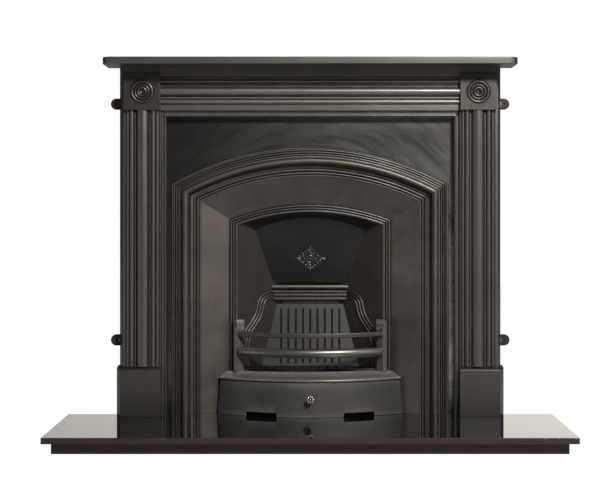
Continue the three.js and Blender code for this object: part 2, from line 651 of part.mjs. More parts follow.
// A foliate diamond on the flap's face: an oval boss, four leaves and four scrolled buds between them.
function damperOrnament() {
  const centreZ = 537;
  const pieces = [];
  const boss = [[0, -2], [15, -2], [15, 2], [12.5, 4.5], [10, 3.2], [8.5, 5], [5, 7], [0, 8]];
  pieces.push(turned(boss, 16, '-y', [0, 0, 0]));
  for (let i = 0; i < 4; i++) {
    const leaf = new THREE.Shape();
    const length = i % 2 ? 46 : 52;
    leaf.moveTo(8, -7);
    leaf.quadraticCurveTo(20, -17, 30, -9);
    leaf.quadraticCurveTo(36, -8, length, 0);
    leaf.quadraticCurveTo(36, 8, 30, 9);
    leaf.quadraticCurveTo(20, 17, 8, 7);
    const geometry = new THREE.ExtrudeGeometry(leaf, {
      depth: 4,
      curveSegments: 4,
      bevelThickness: 1.5,
      bevelSize: 1,
      bevelSegments: 1,
    });
    geometry.translate(0, 0, -0.6).rotateZ(i * Math.PI / 2).rotateX(Math.PI / 2);
    pieces.push(toSolid(geometry));
    const angle = (i + 0.5) * Math.PI / 2;
    const bud = [[0, -2], [8, -2], [8, 2.5], [5.5, 5], [0, 6]];
    pieces.push(turned(bud, 10, '-y', [21 * Math.cos(angle), 0, 21 * Math.sin(angle)]));
  }
  const lean = Math.atan(-FLAP.lean);
  const flatBacked = cut(join(...pieces), block(-80, 80, 0, 40, -80, 80));
  const seat = [0, flapY(centreZ) - GAP / Math.cos(lean), centreZ];
  return flatBacked.rotate([lean * 180 / Math.PI, 0, 0]).translate(seat);
}

const hingeRod = () => rod(PIVOT.rod, 2 * 146, 'x', [-146, PIVOT.y, PIVOT.z], 16);

function bottomGrate() {
  const { bottom, top, front, back, slots, pitch, slotWidth } = GRATE;
  const edge = y => CHAMBER.sum - y - 6;
  const plan = [[-edge(front), front], [edge(front), front], [edge(back), back], [-edge(back), back]];
  const plate = prism('z', plan, bottom, top);
  const openings = [];
  for (let i = 0; i < slots; i++) {
    const x = (i - (slots - 1) / 2) * pitch;
    openings.push(block(x - slotWidth / 2, x + slotWidth / 2, front + 9, back - 9, bottom - 5, top + 5));
  }
  return cut(plate, ...openings);
}

const bracketPin = { x: (BRACKET.inner + BRACKET.outer) / 2, y: 22, radius: 4, foot: 174 };

// A section of [radius, z] points swung about an upright line at `centreY`.
function bowed(section, centreY, halfAngle, steps) {
  const rings = [];
  for (let i = 0; i <= steps; i++) {
    const angle = halfAngle * (-1 + 2 * i / steps);
    const at = ([radius, z]) => [radius * Math.sin(angle), centreY - radius * Math.cos(angle), z];
    rings.push(section.map(at));
  }
  return loft(rings, section);
}

function frontLedge() {
  const { nose, half, under, top } = LEDGE;
  const section = [
    [nose - 1.5, under], [nose, under + 2], [nose, under + 5.5], [nose - 2, under + 8], [nose - 6, under + 8.8],
    [nose - 8, under + 7.4], [nose - 12, under + 10.2], [nose - 16, under + 10.6], [nose - 36, top],
    [300, top], [300, top - 10], [nose - 18, top - 12], [nose - 18, under],
  ];
  const plan = prism('z', [
    [-half, -150], [half, -150], [half, 28.2], [259, 41.2], [257, 33], [226, 33], [226, 36.8],
    [-226, 36.8], [-226, 33], [-257, 33], [-259, 41.2], [-half, 28.2],
  ], under - 5, top + 5);
  const socket = rod(bracketPin.radius + 0.5, 20, 'z', [bracketPin.x, bracketPin.y, 168], 12);
  const boltHole = screwHole(smallScrew, 40, '-y', [ledgeBolt.x, 45, ledgeBolt.z]);
  const boss = prism('z', [[259.5, 8], [284, 12], [284, 28.4], [259.5, 40.8]], under, under + 9);
  const shelf = bowed(section, BOW.centreY, 0.95, 24).intersect(plan);
  const whole = join(shelf, boss, mirrored(boss));
  return cut(whole, socket, mirrored(socket), boltHole, mirrored(boltHole));
}

function frontBars() {
  const { radius, centreY, reach, flatZ, roundZ, roundRadius } = BARS;
  const halfAngle = Math.asin(reach / radius);
  const flat = [
    [radius - 5, flatZ - 6], [radius + 4, flatZ - 6], [radius + 5.5, flatZ - 4],
    [radius + 5.5, flatZ + 4], [radius + 4, flatZ + 6], [radius - 5, flatZ + 6],
  ];
  const round = [];
  for (let i = 0; i < 12; i++) {
    const angle = Math.PI * i / 6;
    round.push([radius - 2 + roundRadius * Math.cos(angle), roundZ + roundRadius * Math.sin(angle)]);
  }
  const { inner, outer, front, back, cap } = BRACKET;
  const hollow = [
    [front + 3, cap - 14], [front + 2, cap - 12], [front - 1, cap - 9], [back, cap - 9], [back - 1, cap - 14],
  ];
  const band = [[front, cap - 7], [front - 2, cap - 5], [front, cap], [back, cap], [back, cap - 7]];
  const bracket = join(
    block(inner + 1, outer - 1, front + 3, back - 1, LEDGE.top + GAP, cap - 13),
    prism('x', hollow, inner, outer),
    block(inner + 2, outer - 2, front + 2, back - 2, cap - 10, cap - 6),
    prism('x', band, inner - 0.5, outer + 0.5),
    rod(bracketPin.radius, 12, 'z', [bracketPin.x, bracketPin.y, bracketPin.foot], 12),
  );
  const bars = join(bowed(flat, centreY, halfAngle, 16), bowed(round, centreY, halfAngle, 16));
  return join(bars, bracket, mirrored(bracket));
}

// ---------------------------------------------------------------- ash pit

function ashpanCover() {
  const { radius, thickness, half, top } = COVER;
  const foot = HEARTH.top + GAP;
  const ring = [[radius, foot], [radius, top], [radius - thickness, top], [radius - thickness, foot]];
  const rounded = new THREE.Shape();
  rounded.moveTo(-half, foot - 5);
  rounded.lineTo(half, foot - 5);
  rounded.absarc(half - 8, top - 8, 8, 0, Math.PI / 2);
  rounded.absarc(-half + 8, top - 8, 8, Math.PI / 2, Math.PI);
  const frontView = prism('y', rounded.getPoints(4).map(p => [p.x, p.y]), -120, 100);
  const flangeSection = [
    [radius - 2, top - 6], [radius - 2, top], [radius - 22, top], [radius - 22, top - 6],
  ];
  const flange = bowed(flangeSection, BOW.centreY, 0.6, 20);
  const endPlate = block(half - thickness, half, 10, 24, foot, top);
  const shell = join(bowed(ring, BOW.centreY, 0.72, 26), flange, endPlate, mirrored(endPlate));
  const notchTop = HEARTH.top + 14;
  const notchOutline = [[100, foot - 5], [103, notchTop], [194, notchTop], [194, foot - 5]];
  const notch = prism('y', notchOutline, -120, 60);
  const hole = rod(KNOB.stem + 0.4, 40, 'y', [0, -100, KNOB.z], 12);
  return cut(shell.intersect(frontView), notch, mirrored(notch), hole);
}

const coverFront = BOW.centreY - COVER.radius;

// The turned knob with its petalled face; the stem goes through the cover and takes the nut.
function ashpanKnob() {
  const { radius, reach, stem, z } = KNOB;
  const profile = [
    [0, -18], [stem, -18], [stem, GAP], [8.5, GAP], [8.5, 2.5], [5, 4], [4.5, 11], [7, 14],
    [radius, 16.5], [radius, 19.5], [9.5, 21.5], [5.2, 20.8], [4.4, 19.6], [3.6, 23.5], [0, reach],
  ];
  const body = turned(profile, 24, '-y', [0, coverFront, z]);
  const nicks = [];
  for (let i = 0; i < 8; i++) {
    const angle = (i + 0.5) * Math.PI / 4;
    const [x, up] = [(radius + 0.4) * Math.cos(angle), (radius + 0.4) * Math.sin(angle)];
    nicks.push(rod(1.7, 14, '-y', [x, coverFront - 13, z + up], 6));
  }
  return cut(body, ...nicks);
}

function knobNut() {
  const seat = coverFront + COVER.thickness + GAP;
  const bore = rod(KNOB.stem + 0.4, 20, 'y', [0, seat - 5, KNOB.z], 12);
  return cut(rod(7.5, 5, 'y', [0, seat, KNOB.z], 6), bore);
}

function ashPan() {
  const { half, front, back, bottom, top, wall } = PAN;
  const tray = cut(block(-half, half, front, back, bottom, top),
    block(-half + wall, half - wall, front + wall, back - wall, bottom + wall, top + 5));
  const rim = cut(block(-half - 4, half + 4, front - 4, back + 4, top - wall, top),
    block(-half + wall, half - wall, front + wall, back - wall, top - 10, top + 5));
  const pull = block(-40, 40, front - 12, front - 2, top - wall, top);
  return join(tray, rim, pull);
}

// ---------------------------------------------------------------- fasteners

function friezeScrews() {
  const seat = JAMB.joint + JAMB.wall + GAP;
  const bolt = join(
    rod(7, 5, 'x', [seat, friezeBolt.y, friezeBolt.z], 6),
    rod(screwRadius.frieze, 30, '-x', [seat + 1, friezeBolt.y, friezeBolt.z], 8));
  const nutSeat = JAMB.joint - GAP - 0.1 - JAMB.wall - GAP;
  const nut = cut(
    rod(7.5, 6, '-x', [nutSeat, friezeBolt.y, friezeBolt.z], 6),
    rod(screwRadius.frieze + GAP, 20, '-x', [nutSeat + 5, friezeBolt.y, friezeBolt.z], 8));
  return { bolt, nut };
}

const jambBack = JAMB.core + JAMB.wall;
const fromBehind = (z, length) => join(
  rod(6.5, 4.5, 'y', [BLOCK.centreX, jambBack + GAP, z], 6),
  rod(screwRadius.block, length, '-y', [BLOCK.centreX, jambBack + GAP + 1, z], 8));

const shelfBolt = () => join(
  rod(7, 5.5, 'z', [shelfScrewX, shelfScrewY, SHELF.bottom - GAP - 8 - GAP - 5.5], 6),
  rod(screwRadius.shelf, 22, 'z', [shelfScrewX, shelfScrewY, SHELF.bottom - GAP - 8 - 2], 8));

// A small hexagon screw driven towards the room, its head just behind `y`.
const rearScrew = (x, y, z, length) => join(
  rod(5.5, 4, 'y', [x, y + GAP, z], 6),
  rod(smallScrew, length, '-y', [x, y + GAP + 1, z], 8));

// ---------------------------------------------------------------- assembly

const fireplace = new THREE.Group();
fireplace.name = 'fireplace';

function place(name, solid, material, parent = fireplace) {
  const mesh = new THREE.Mesh(toGeometry(solid), material);
  mesh.name = name;
  parent.add(mesh);
}

function placePair(name, solid, material) {
  place(`right_${name}`, solid, material);
  place(`left_${name}`, mirrored(solid), material);
}

place('hearth_slab', hearthSlab(), granite);
place('back_hearth_slab', backHearthSlab(), granite);
place('hearth_front_riser', frontRiser(), graniteRiser);
placePair('hearth_riser', rightRiser(), graniteRiser);
place('hearth_middle_bearer', middleBearer(), bearerWood);
place('hearth_back_bearer', backBearer(), bearerWood);

place('mantel_shelf', mantelShelf(), castIron);
place('frieze', frieze(), castIron);
placePair('jamb', rightJamb(), castIron);
placePair('plinth', rightPlinth(), castIron);
placePair('corner_block', rightCornerBlock(), castIron);

place('insert_surround', insertSurround(), castIron);
place('inner_arch_frame', innerFrame(), castIron);
place('throat_plate', throatPlate(), sootyIron);
placePair('fire_cheek', rightCheek(), sootyIron);
place('fireback', fireback(), sootyIron);
place('fireback_cap', firebackCap(), sootyIron);
place('damper_flap', damperFlap(), sootyIron);
place('damper_ornament', damperOrnament(), castIron);
place('damper_hinge_rod', hingeRod(), steel);
place('bottom_grate', bottomGrate(), sootyIron);
place('front_ledge', frontLedge(), castIron);
place('front_bars', frontBars(), castIron);
place('ashpan_cover', ashpanCover(), castIron);
place('ashpan_knob', ashpanKnob(), steel);
place('ashpan_knob_nut', knobNut(), steel);
place('ash_pan', ashPan(), sheetSteel);

const { bolt, nut } = friezeScrews();
placePair('frieze_bolt', bolt, steel);
placePair('frieze_nut', nut, steel);
placePair('shelf_bolt', shelfBolt(), steel);
placePair('corner_block_screw', fromBehind(BLOCK.centreZ, 18), steel);
placePair('plinth_screw', fromBehind(plinthScrewZ, 18), steel);
for (const [index, z] of frameScrews.entries()) {
  placePair(`frame_screw_${index + 1}`, rearScrew(frameScrewX, FRAME.back, z, 14), steel);
}
for (const [index, z] of cheekBolts.entries()) {
  placePair(`cheek_bolt_${index + 1}`, rearScrew(cheekBoltX, FRAME.back + 8 + GAP, z, 18), steel);
}
placePair('throat_screw', rearScrew(...throatScrewFoot(1, FRAME.back + 7), 12), steel);
const ledgeBoltSeat = splayFrontY(ARCH.leg - ledgeBolt.x) + 12;
placePair('ledge_bolt', rearScrew(ledgeBolt.x, ledgeBoltSeat, ledgeBolt.z, 36), steel);

export default fireplace;
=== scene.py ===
"""The looks of a cast iron fireplace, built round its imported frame, in metres.

Each section is one piece, or one group of like pieces, in the order they go together.
Sizes of mouldings are in millimetres, and become metres where a mesh is made.
"""

import math

import bmesh
import bpy
from bmesh.types import BMEdge, BMFace, BMVert
from mathutils import Matrix, Vector


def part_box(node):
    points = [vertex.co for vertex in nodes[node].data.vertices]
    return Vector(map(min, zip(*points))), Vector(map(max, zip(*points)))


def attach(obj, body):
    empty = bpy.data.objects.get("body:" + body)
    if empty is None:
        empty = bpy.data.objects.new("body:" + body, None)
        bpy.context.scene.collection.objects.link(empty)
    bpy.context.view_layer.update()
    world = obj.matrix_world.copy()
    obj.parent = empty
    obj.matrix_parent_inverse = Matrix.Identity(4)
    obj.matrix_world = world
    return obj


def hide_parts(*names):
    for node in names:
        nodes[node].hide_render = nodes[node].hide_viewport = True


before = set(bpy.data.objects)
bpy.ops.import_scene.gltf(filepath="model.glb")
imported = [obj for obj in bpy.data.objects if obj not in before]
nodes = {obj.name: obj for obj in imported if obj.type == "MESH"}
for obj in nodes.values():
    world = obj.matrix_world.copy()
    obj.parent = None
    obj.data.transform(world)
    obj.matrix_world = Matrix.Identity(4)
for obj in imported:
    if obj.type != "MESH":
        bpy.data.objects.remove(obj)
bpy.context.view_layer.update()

# ---------------------------------------------------------------- hearth slab
# One slab of black granite, sawn to size. Its top is polished to a mirror and its
# edges are only honed, so they show the grey crystals. It lies on the bearers.

MM = 0.001


def new_material(name, base, roughness, metallic=0.0):
    """A material with its Principled shader, its node tree and object coordinates."""
    material = bpy.data.materials.new(name)
    material.use_nodes = True
    tree = material.node_tree
    shader = tree.nodes["Principled BSDF"]
    shader.inputs["Base Color"].default_value = (*base, 1.0)
    shader.inputs["Roughness"].default_value = roughness
    shader.inputs["Metallic"].default_value = metallic
    place = tree.nodes.new("ShaderNodeTexCoord").outputs["Object"]
    return material, tree, shader, place


def fed(tree, slot, value):
    """Leads a socket to an input, or sets the input to a plain value or colour."""
    if isinstance(value, bpy.types.NodeSocket):
        tree.links.new(value, slot)
    else:
        slot.default_value = (*value, 1.0) if slot.type == "RGBA" else value


def added(tree, kind, **values):
    """The outputs of a new node, whose inputs are fed by their names."""
    node = tree.nodes.new("ShaderNode" + kind)
    for name, value in values.items():
        fed(tree, node.inputs[name.replace("_", " ")], value)
    return node.outputs


def cloud(tree, place, scale, detail=3.0, rough=0.5, distortion=0.0):
    """A noise texture's value, about 0.5 on average."""
    return added(tree, "TexNoise", Vector=place, Scale=scale, Detail=detail, Roughness=rough,
                 Distortion=distortion)["Fac"]


def banded(tree, value, low, high, to_low=0.0, to_high=1.0):
    """The value spread from low..high to to_low..to_high, and held at those ends."""
    return added(tree, "MapRange", Value=value, From_Min=low, From_Max=high, To_Min=to_low,
                 To_Max=to_high)["Result"]


def mixed(tree, share, first, second):
    """Two colours mixed by a share. Each is a socket or a plain colour."""
    mix = tree.nodes.new("ShaderNodeMix")
    mix.data_type = "RGBA"
    for slot, value in zip((mix.inputs[0], mix.inputs[6], mix.inputs[7]), (share, first, second)):
        fed(tree, slot, value)
    return mix.outputs[2]


def summed(tree, first, second, how="ADD"):
    """Two values joined by a maths node."""
    maths = tree.nodes.new("ShaderNodeMath")
    maths.operation = how
    for slot, value in zip(maths.inputs, (first, second)):
        fed(tree, slot, value)
    return maths.outputs[0]


def bumped(tree, shader, height, distance):
    """Relief on the shader's normal, with its distance in millimetres."""
    relief = added(tree, "Bump", Strength=1.0, Distance=distance * MM, Height=height)["Normal"]
    tree.links.new(relief, shader.inputs["Normal"])


def granite(name, dark, fleck, roughness, amount):
    """Black granite: dark crystals a millimetre or two across, with paler flecks between."""
    material, tree, shader, place = new_material(name, dark, roughness)
    crystal = added(tree, "TexVoronoi", Vector=place, Scale=620)["Distance"]
    flecks = banded(tree, cloud(tree, place, 900, 2), 0.56, 0.68, 0, amount)
    crystals = summed(tree, banded(tree, crystal, 0.2, 0.7), flecks, "MULTIPLY")
    colour = mixed(tree, crystals, dark, fleck)
    tree.links.new(colour, shader.inputs["Base Color"])
    cloudy = banded(tree, cloud(tree, place, 14, 4), 0.3, 0.7, roughness * 0.8, roughness * 1.25)
    tree.links.new(cloudy, shader.inputs["Roughness"])
    return material, tree, shader, place


def placed(name, data):
    """A new object of the scene, at the origin."""
    thing = bpy.data.objects.new(name, data)
    bpy.context.scene.collection.objects.link(thing)
    return thing


def finished(bm, name, materials, body, slot, *replaced, crease=32, merge=0.01):
    """The bmesh as a named piece that rides on a body and stands for the nodes given."""
    bmesh.ops.remove_doubles(bm, verts=bm.verts, dist=merge * MM)
    bmesh.ops.recalc_face_normals(bm, faces=bm.faces)
    mesh = bpy.data.meshes.new(name)
    bm.to_mesh(mesh)
    bm.free()
    for material in materials:
        mesh.materials.append(material)
    mesh.shade_smooth()
    mesh.set_sharp_from_angle(angle=math.radians(crease))
    piece = placed(name, mesh)
    normals = piece.modifiers.new("weighted_normals", "WEIGHTED_NORMAL")
    normals.keep_sharp = True
    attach(piece, body)
    if replaced:
        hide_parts(*replaced)
    return piece


def softened(bm, edges, width, segments):
    """Rounds edges over by a width in millimetres."""
    bmesh.ops.bevel(bm, geom=edges, offset=width * MM, segments=segments, profile=0.5, affect="EDGES",
                    material=-1)


def slab(bm, low, high, arris):
    """A block between two corners, in metres, with its edges eased."""
    made = bmesh.ops.create_cube(bm, size=1.0)["verts"]
    bmesh.ops.scale(bm, vec=high - low, verts=made)
    bmesh.ops.translate(bm, vec=(high + low) / 2, verts=made)
    softened(bm, list({edge for vert in made for edge in vert.link_edges}), arris, 3)


polished_granite, _, shader, _ = granite(
    "polished_granite", (0.006, 0.0065, 0.006), (0.05, 0.05, 0.05), 0.02, 0.5)
shader.inputs["IOR"].default_value = 1.6
shader.inputs["Coat Weight"].default_value = 0.5
shader.inputs["Coat Roughness"].default_value = 0.02

honed_granite, tree, shader, place = granite(
    "honed_granite", (0.018, 0.0115, 0.008), (0.178, 0.134, 0.106), 0.45, 0.9)
bumped(tree, shader, cloud(tree, place, 700, 3), 0.15)

for node in ("hearth_slab", "back_hearth_slab"):
    bm = bmesh.new()
    slab(bm, *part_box(node), arris=1.2)
    for face in bm.faces:
        face.material_index = 0 if face.normal.z > 0.6 else 1
    finished(bm, "polished_" + node, [polished_granite, honed_granite], "surround", "granite", node)

# ---------------------------------------------------------------- hearth risers and bearers
# Strips of dark brown stone, mitred at the two front corners, that hold the slab up
# round its edge, and two sawn softwood bearers under the middle, out of sight.


def stretched(tree, place, scale, turn=(0.0, 0.0, 0.0)):
    """Coordinates turned and stretched, for grain and streaks that run one way."""
    return added(tree, "Mapping", Vector=place, Scale=scale, Rotation=turn)["Vector"]


riser_stone, tree, shader, place = new_material("riser_stone", (0.018, 0.009, 0.006), 0.35)
figure = cloud(tree, stretched(tree, place, (6, 6, 40)), 3, 5, 0.6)
colour = mixed(tree, banded(tree, figure, 0.3, 0.7), (0.016, 0.0045, 0.0018), (0.050, 0.0150, 0.0065))
tree.links.new(colour, shader.inputs["Base Color"])
tree.links.new(banded(tree, figure, 0.3, 0.7, 0.3, 0.45), shader.inputs["Roughness"])
bumped(tree, shader, cloud(tree, place, 260, 3), 0.1)

softwood, tree, shader, place = new_material("sawn_softwood", (0.35, 0.24, 0.14), 0.8)
grain = cloud(tree, stretched(tree, place, (2, 60, 60)), 4, 4, 0.6, 0.4)
colour = mixed(tree, banded(tree, grain, 0.35, 0.65), (0.42, 0.30, 0.18), (0.24, 0.15, 0.08))
tree.links.new(colour, shader.inputs["Base Color"])
bumped(tree, shader, grain, 0.4)


def dressed(material, *names):
    """Gives CAD nodes a material in place of their plain one."""
    for name in names:
        mesh = nodes[name].data
        mesh.materials.clear()
        mesh.materials.append(material)


dressed(riser_stone, "hearth_front_riser", "right_hearth_riser", "left_hearth_riser")
dressed(softwood, "hearth_middle_bearer", "hearth_back_bearer")

# ---------------------------------------------------------------- jambs
# Two iron castings, hollow behind, with a reeded front, a moulded slip that covers the
# insert's edge, and two round ears a side that are screwed to the wall.

JAMB_CENTRE = 522.0
JAMB_CORE = -44.0
JAMB_JOINT = 466.2
SLIP_EDGE = 449.0
SLIP_TOP = 983.0
FOOT = 50.35                            # where all that stands on the hearth starts
MANTEL_TOP = 1137.65
EAR_X = 609.0
EAR_LEVELS = (284, 1025)
EAR_RADIUS = 17.5
BORE_RADIUS = 3.75


def black_lead(name, dark, light, roughness, streaks, turn=(0.0, 0.0, 0.0), warm=0.4, arris_wear_and_highlight=0.5, metal=0.85):
    """Cast iron rubbed with graphite polish: a fine sandy grain, cloudy patches, rubbing streaks,
    brown warmth where the polish is thin, brighter arrises that are partly worn polish and partly
    painted highlight, and painted shade that darkens the hollows."""
    material, tree, shader, place = new_material(name, dark, roughness, metal)
    shader.inputs["Specular IOR Level"].default_value = 0.35
    patches = cloud(tree, place, 5.5, 4, 0.55, 0.6)
    rubbed = cloud(tree, stretched(tree, place, streaks, turn), 1.0, 5, 0.65)
    tone = summed(tree, banded(tree, patches, 0.3, 0.7, 0, 0.55), banded(tree, rubbed, 0.3, 0.7, 0, 0.45))
    colour = mixed(tree, tone, dark, light)
    brown = banded(tree, cloud(tree, place, 9, 5, 0.6, 1.2), 0.5, 0.72, 0, warm)
    browned = (light[0] * 1.12, light[1] * 0.93, light[2] * 0.78)
    colour = mixed(tree, brown, colour, browned)
    point = added(tree, "NewGeometry")["Pointiness"]
    # Arrises brightened: partly worn polish, partly a painted highlight.
    arris = banded(tree, point, 0.505, 0.56, 0, arris_wear_and_highlight)
    bright = tuple(min(1.0, value * 2.1) for value in light)
    colour = mixed(tree, arris, colour, bright)
    # Painted shade: creases and grooves are darkened.
    hollow_shade = banded(tree, point, 0.43, 0.495, 0.75, 0)
    colour = mixed(tree, hollow_shade, colour, tuple(value * 0.45 for value in dark))
    tree.links.new(colour, shader.inputs["Base Color"])
    matt = summed(tree, banded(tree, rubbed, 0.25, 0.75, roughness * 1.12, roughness * 0.9),
                  summed(tree, arris, -0.12, "MULTIPLY"))
    tree.links.new(matt, shader.inputs["Roughness"])
    waves = summed(tree, cloud(tree, place, 160, 2), 0.5, "MULTIPLY")
    bumped(tree, shader, summed(tree, cloud(tree, place, 900, 3, 0.6), waves), 0.04)
    return material


def bead(centre, half, base, height, steps=10):
    """The rounded top of a reed, from one side to the other, as pairs of place and depth."""
    turns = [math.pi * (1 - step / steps) for step in range(steps + 1)]
    return [(centre + half * math.cos(turn), base - height * math.sin(turn)) for turn in turns]


def eased(points, radius, closed=True):
    """An outline with each sharp corner turned into a small round of four points."""
    soft = []
    count = len(points)
    for index, point in enumerate(points):
        here = Vector(point)
        back = Vector(points[index - 1]) - here
        ahead = Vector(points[(index + 1) % count]) - here
        at_end = not closed and index in (0, count - 1)
        doubled = min(back.length, ahead.length) < 1e-6
        if at_end or doubled or math.pi - back.angle(ahead) < math.radians(34):
            soft.append(tuple(here))
            continue
        start = here + back.normalized() * min(radius, back.length * 0.45)
        end = here + ahead.normalized() * min(radius, ahead.length * 0.45)
        for share in (0, 0.33, 0.67, 1):
            soft.append(tuple(start.lerp(here, share).lerp(here.lerp(end, share), share)))
    return soft


def only(kind, items):
    """The vertices, edges or faces among an operator's results."""
    return [item for item in items if isinstance(item, kind)]


def looped(bm, verts):
    """New edges from each vertex to the next, and from the last to the first."""
    return [bm.edges.new(pair) for pair in zip(verts, verts[1:] + verts[:1])]


def carried(bm, profile, stations):
    """Extrudes a closed profile from station to station. Each turns a pair into a place."""
    first = bm.verts.layers.float.get("across") or bm.verts.layers.float.new("across")
    second = bm.verts.layers.float.get("deep") or bm.verts.layers.float.new("deep")
    verts = []
    for across, deep in profile:
        vert = bm.verts.new(Vector(stations[0]((across, deep))) * MM)
        vert[first], vert[second] = across, deep
        verts.append(vert)
    start = ring = looped(bm, verts)
    for station in stations[1:]:
        made = bmesh.ops.extrude_edge_only(bm, edges=ring)["geom"]
        moved = set(only(BMVert, made))
        for vert in moved:
            vert.co = Vector(station((vert[first], vert[second]))) * MM
        ring = [edge for edge in only(BMEdge, made) if set(edge.verts) <= moved]
    for loop in (start, ring):
        bmesh.ops.triangle_fill(bm, use_beauty=True, use_dissolve=False, edges=loop)


def upright(*levels):
    """Stations that carry a plan up from level to level."""
    return [lambda p, z=z: (p[0], p[1], z) for z in levels]


def paired(build, name, materials, slot, node):
    """The right piece that a function builds, and its mirror image on the left."""
    for side in ("right", "left"):
        bm = build()
        if side == "left":
            bmesh.ops.scale(bm, vec=(-1, 1, 1), verts=bm.verts)
        finished(bm, f"{side}_{name}", materials, "surround", slot, f"{side}_{node}")


mantel_iron = black_lead("mantel_iron", (0.052, 0.050, 0.046), (0.114, 0.108, 0.099), 0.41, (9, 9, 1.2),
                         arris_wear_and_highlight=0.4)
# Painted shade: the ears are cast with the jamb but coloured darker.
shaded_ear_iron = black_lead("shaded_ear_iron", (0.014, 0.012, 0.011), (0.034, 0.027, 0.022), 0.6, (40, 40, 40),
                      warm=0.5, arris_wear_and_highlight=0.3, metal=0.5)
rust = black_lead("rust", (0.06, 0.022, 0.009), (0.24, 0.085, 0.030), 0.8, (60, 60, 60),
                  warm=0.6, arris_wear_and_highlight=0, metal=0.1)


def bore_circle(bm, y, z, filled):
    """A circle as wide as an ear's bore that faces the room, and its edges."""
    verts = bmesh.ops.create_circle(bm, cap_ends=filled, radius=BORE_RADIUS * MM, segments=20)["verts"]
    bmesh.ops.rotate(bm, verts=verts, cent=(0, 0, 0), matrix=Matrix.Rotation(math.pi / 2, 3, "X"))
    bmesh.ops.translate(bm, verts=verts, vec=(EAR_X * MM, y * MM, z * MM))
    return list({edge for vert in verts for edge in vert.link_edges})


def jamb_mesh():
    bm = bmesh.new()
    side = [
        (-54, -50), (-52.5, -47), (-51, -50), *bead(-46, 4, -50, 4, 8), (-41.5, -47),
        *bead(-33.5, 7.5, -49, 9, 12), (-25.5, -47), (-24.5, -50), (-21, -50), (-19.8, -46),
    ]
    other = [(-x, y) for x, y in reversed(side)]
    front = [(JAMB_JOINT - JAMB_CENTRE, -50), *side, *bead(0, 18.5, -49, 14, 22), *other, (61, -50)]
    reeds = [(x + JAMB_CENTRE, y) for x, y in front]
    reeds += [(JAMB_CENTRE + 61, JAMB_CORE + 1), (JAMB_JOINT, JAMB_CORE + 1)]
    carried(bm, eased(reeds, 0.6), upright(205.35, 1003.15))
    shell = [
        (599, 0), (585.8, JAMB_CORE), (JAMB_JOINT, JAMB_CORE), (JAMB_JOINT, -12), (473.2, -12),
        (473.2, -37), (578.8, -37), (591.5, 0),
    ]
    carried(bm, eased(shell, 0.8), upright(FOOT, MANTEL_TOP))
    bed = [(JAMB_JOINT, -56), (588.8, -56), (585.8, -43), (JAMB_JOINT, -43)]
    carried(bm, eased(bed, 0.8), upright(1116.85, MANTEL_TOP))
    roof = [(466.2, -44), (585.8, -44), (599, 0), (473.2, 0), (466.2, -12)]
    carried(bm, roof, upright(1129.65, MANTEL_TOP))
    slip = [
        (467.2, -43), (467.2, -12), (449, -12), (449, -37), *bead(452.2, 2.8, -38, 4.5, 8),
        (455.5, -37), (462, -37), (464.2, -41), (465.2, -43),
    ]
    mitred = lambda p: (p[0], p[1], SLIP_TOP + p[0] - SLIP_EDGE - 0.7)
    carried(bm, eased(slip, 0.5), [*upright(FOOT), mitred])
    turns = [math.pi * step / 16 for step in range(17)]
    for z in EAR_LEVELS:
        ear = [(589, z - EAR_RADIUS), (589, z + EAR_RADIUS)]
        ear[1:1] = [(EAR_X + EAR_RADIUS * math.sin(turn), z - EAR_RADIUS * math.cos(turn)) for turn in turns]
        rim = looped(bm, [bm.verts.new((x * MM, -8 * MM, up * MM)) for x, up in ear])
        bore = bore_circle(bm, -8, z, False)
        face = only(BMFace, bmesh.ops.triangle_fill(bm, use_beauty=True, edges=rim + bore)["geom"])
        back = bmesh.ops.extrude_face_region(bm, geom=face)["geom"]
        bmesh.ops.translate(bm, verts=only(BMVert, back), vec=(0, 8 * MM, 0))
        bmesh.ops.reverse_faces(bm, faces=face)
        bore_circle(bm, -3, z, True)
    # The ears' faces beyond the jamb's side take the darker painted-shade iron; the bores take rust.
    for face in bm.faces:
        spot = face.calc_center_median()
        bored = min(math.hypot(spot.x - EAR_X * MM, spot.z - z * MM) for z in EAR_LEVELS) < 3.8 * MM
        face.material_index = 2 if bored else 1 if spot.x > 599.1 * MM else 0
    return bm


paired(jamb_mesh, "reeded_jamb", [mantel_iron, shaded_ear_iron, rust], "blacked_iron", "jamb")

# ---------------------------------------------------------------- plinths
# Plain iron blocks with weathered tops. They stand round the feet of the jambs and are
# screwed on from behind.

plinth_iron = black_lead("plinth_iron", (0.034, 0.033, 0.031), (0.082, 0.078, 0.072), 0.42, (8, 8, 5))


def plinth_mesh():
    bm = bmesh.new()
    plan = [(609, 0), (590, -66), (464.5, -66), (464.5, -44.35), (586.1, -44.35), (599.35, 0)]
    weathered = lambda p: (min(p[0], 586.4 if p[1] < -40 else 602), max(p[1], -50), 205)
    carried(bm, plan, [*upright(FOOT, 196), weathered])
    softened(bm, [edge for edge in bm.edges if edge.calc_length() > 4 * MM], 0.9, 2)
    return bm


paired(plinth_mesh, "moulded_plinth", [plinth_iron], "blacked_iron", "plinth")

# ---------------------------------------------------------------- corner blocks
# Square iron blocks at the frieze's ends. Each is sunk for a turned bullseye: a ridge, a
# smaller ridge and a button, with hollows between.

block_iron = black_lead("block_iron", (0.040, 0.038, 0.036), (0.086, 0.081, 0.074), 0.40, (20, 20, 20))
BLOCK_X, BLOCK_Z = 522.5, 1060.0
BLOCK_HALF = 56.5
BLOCK_FACE = -66.0


def turned(bm, profile, x, z, steps):
    """Turns a profile of radius and depth round an axis that points at the room."""
    verts = [bm.verts.new(Vector((x + radius, deep, z)) * MM) for radius, deep in profile]
    edges = [bm.edges.new(pair) for pair in zip(verts, verts[1:])]
    bmesh.ops.spin(bm, geom=verts + edges, cent=Vector((x, 0, z)) * MM, axis=(0, 1, 0), angle=2 * math.pi,
                   steps=steps, use_merge=True)


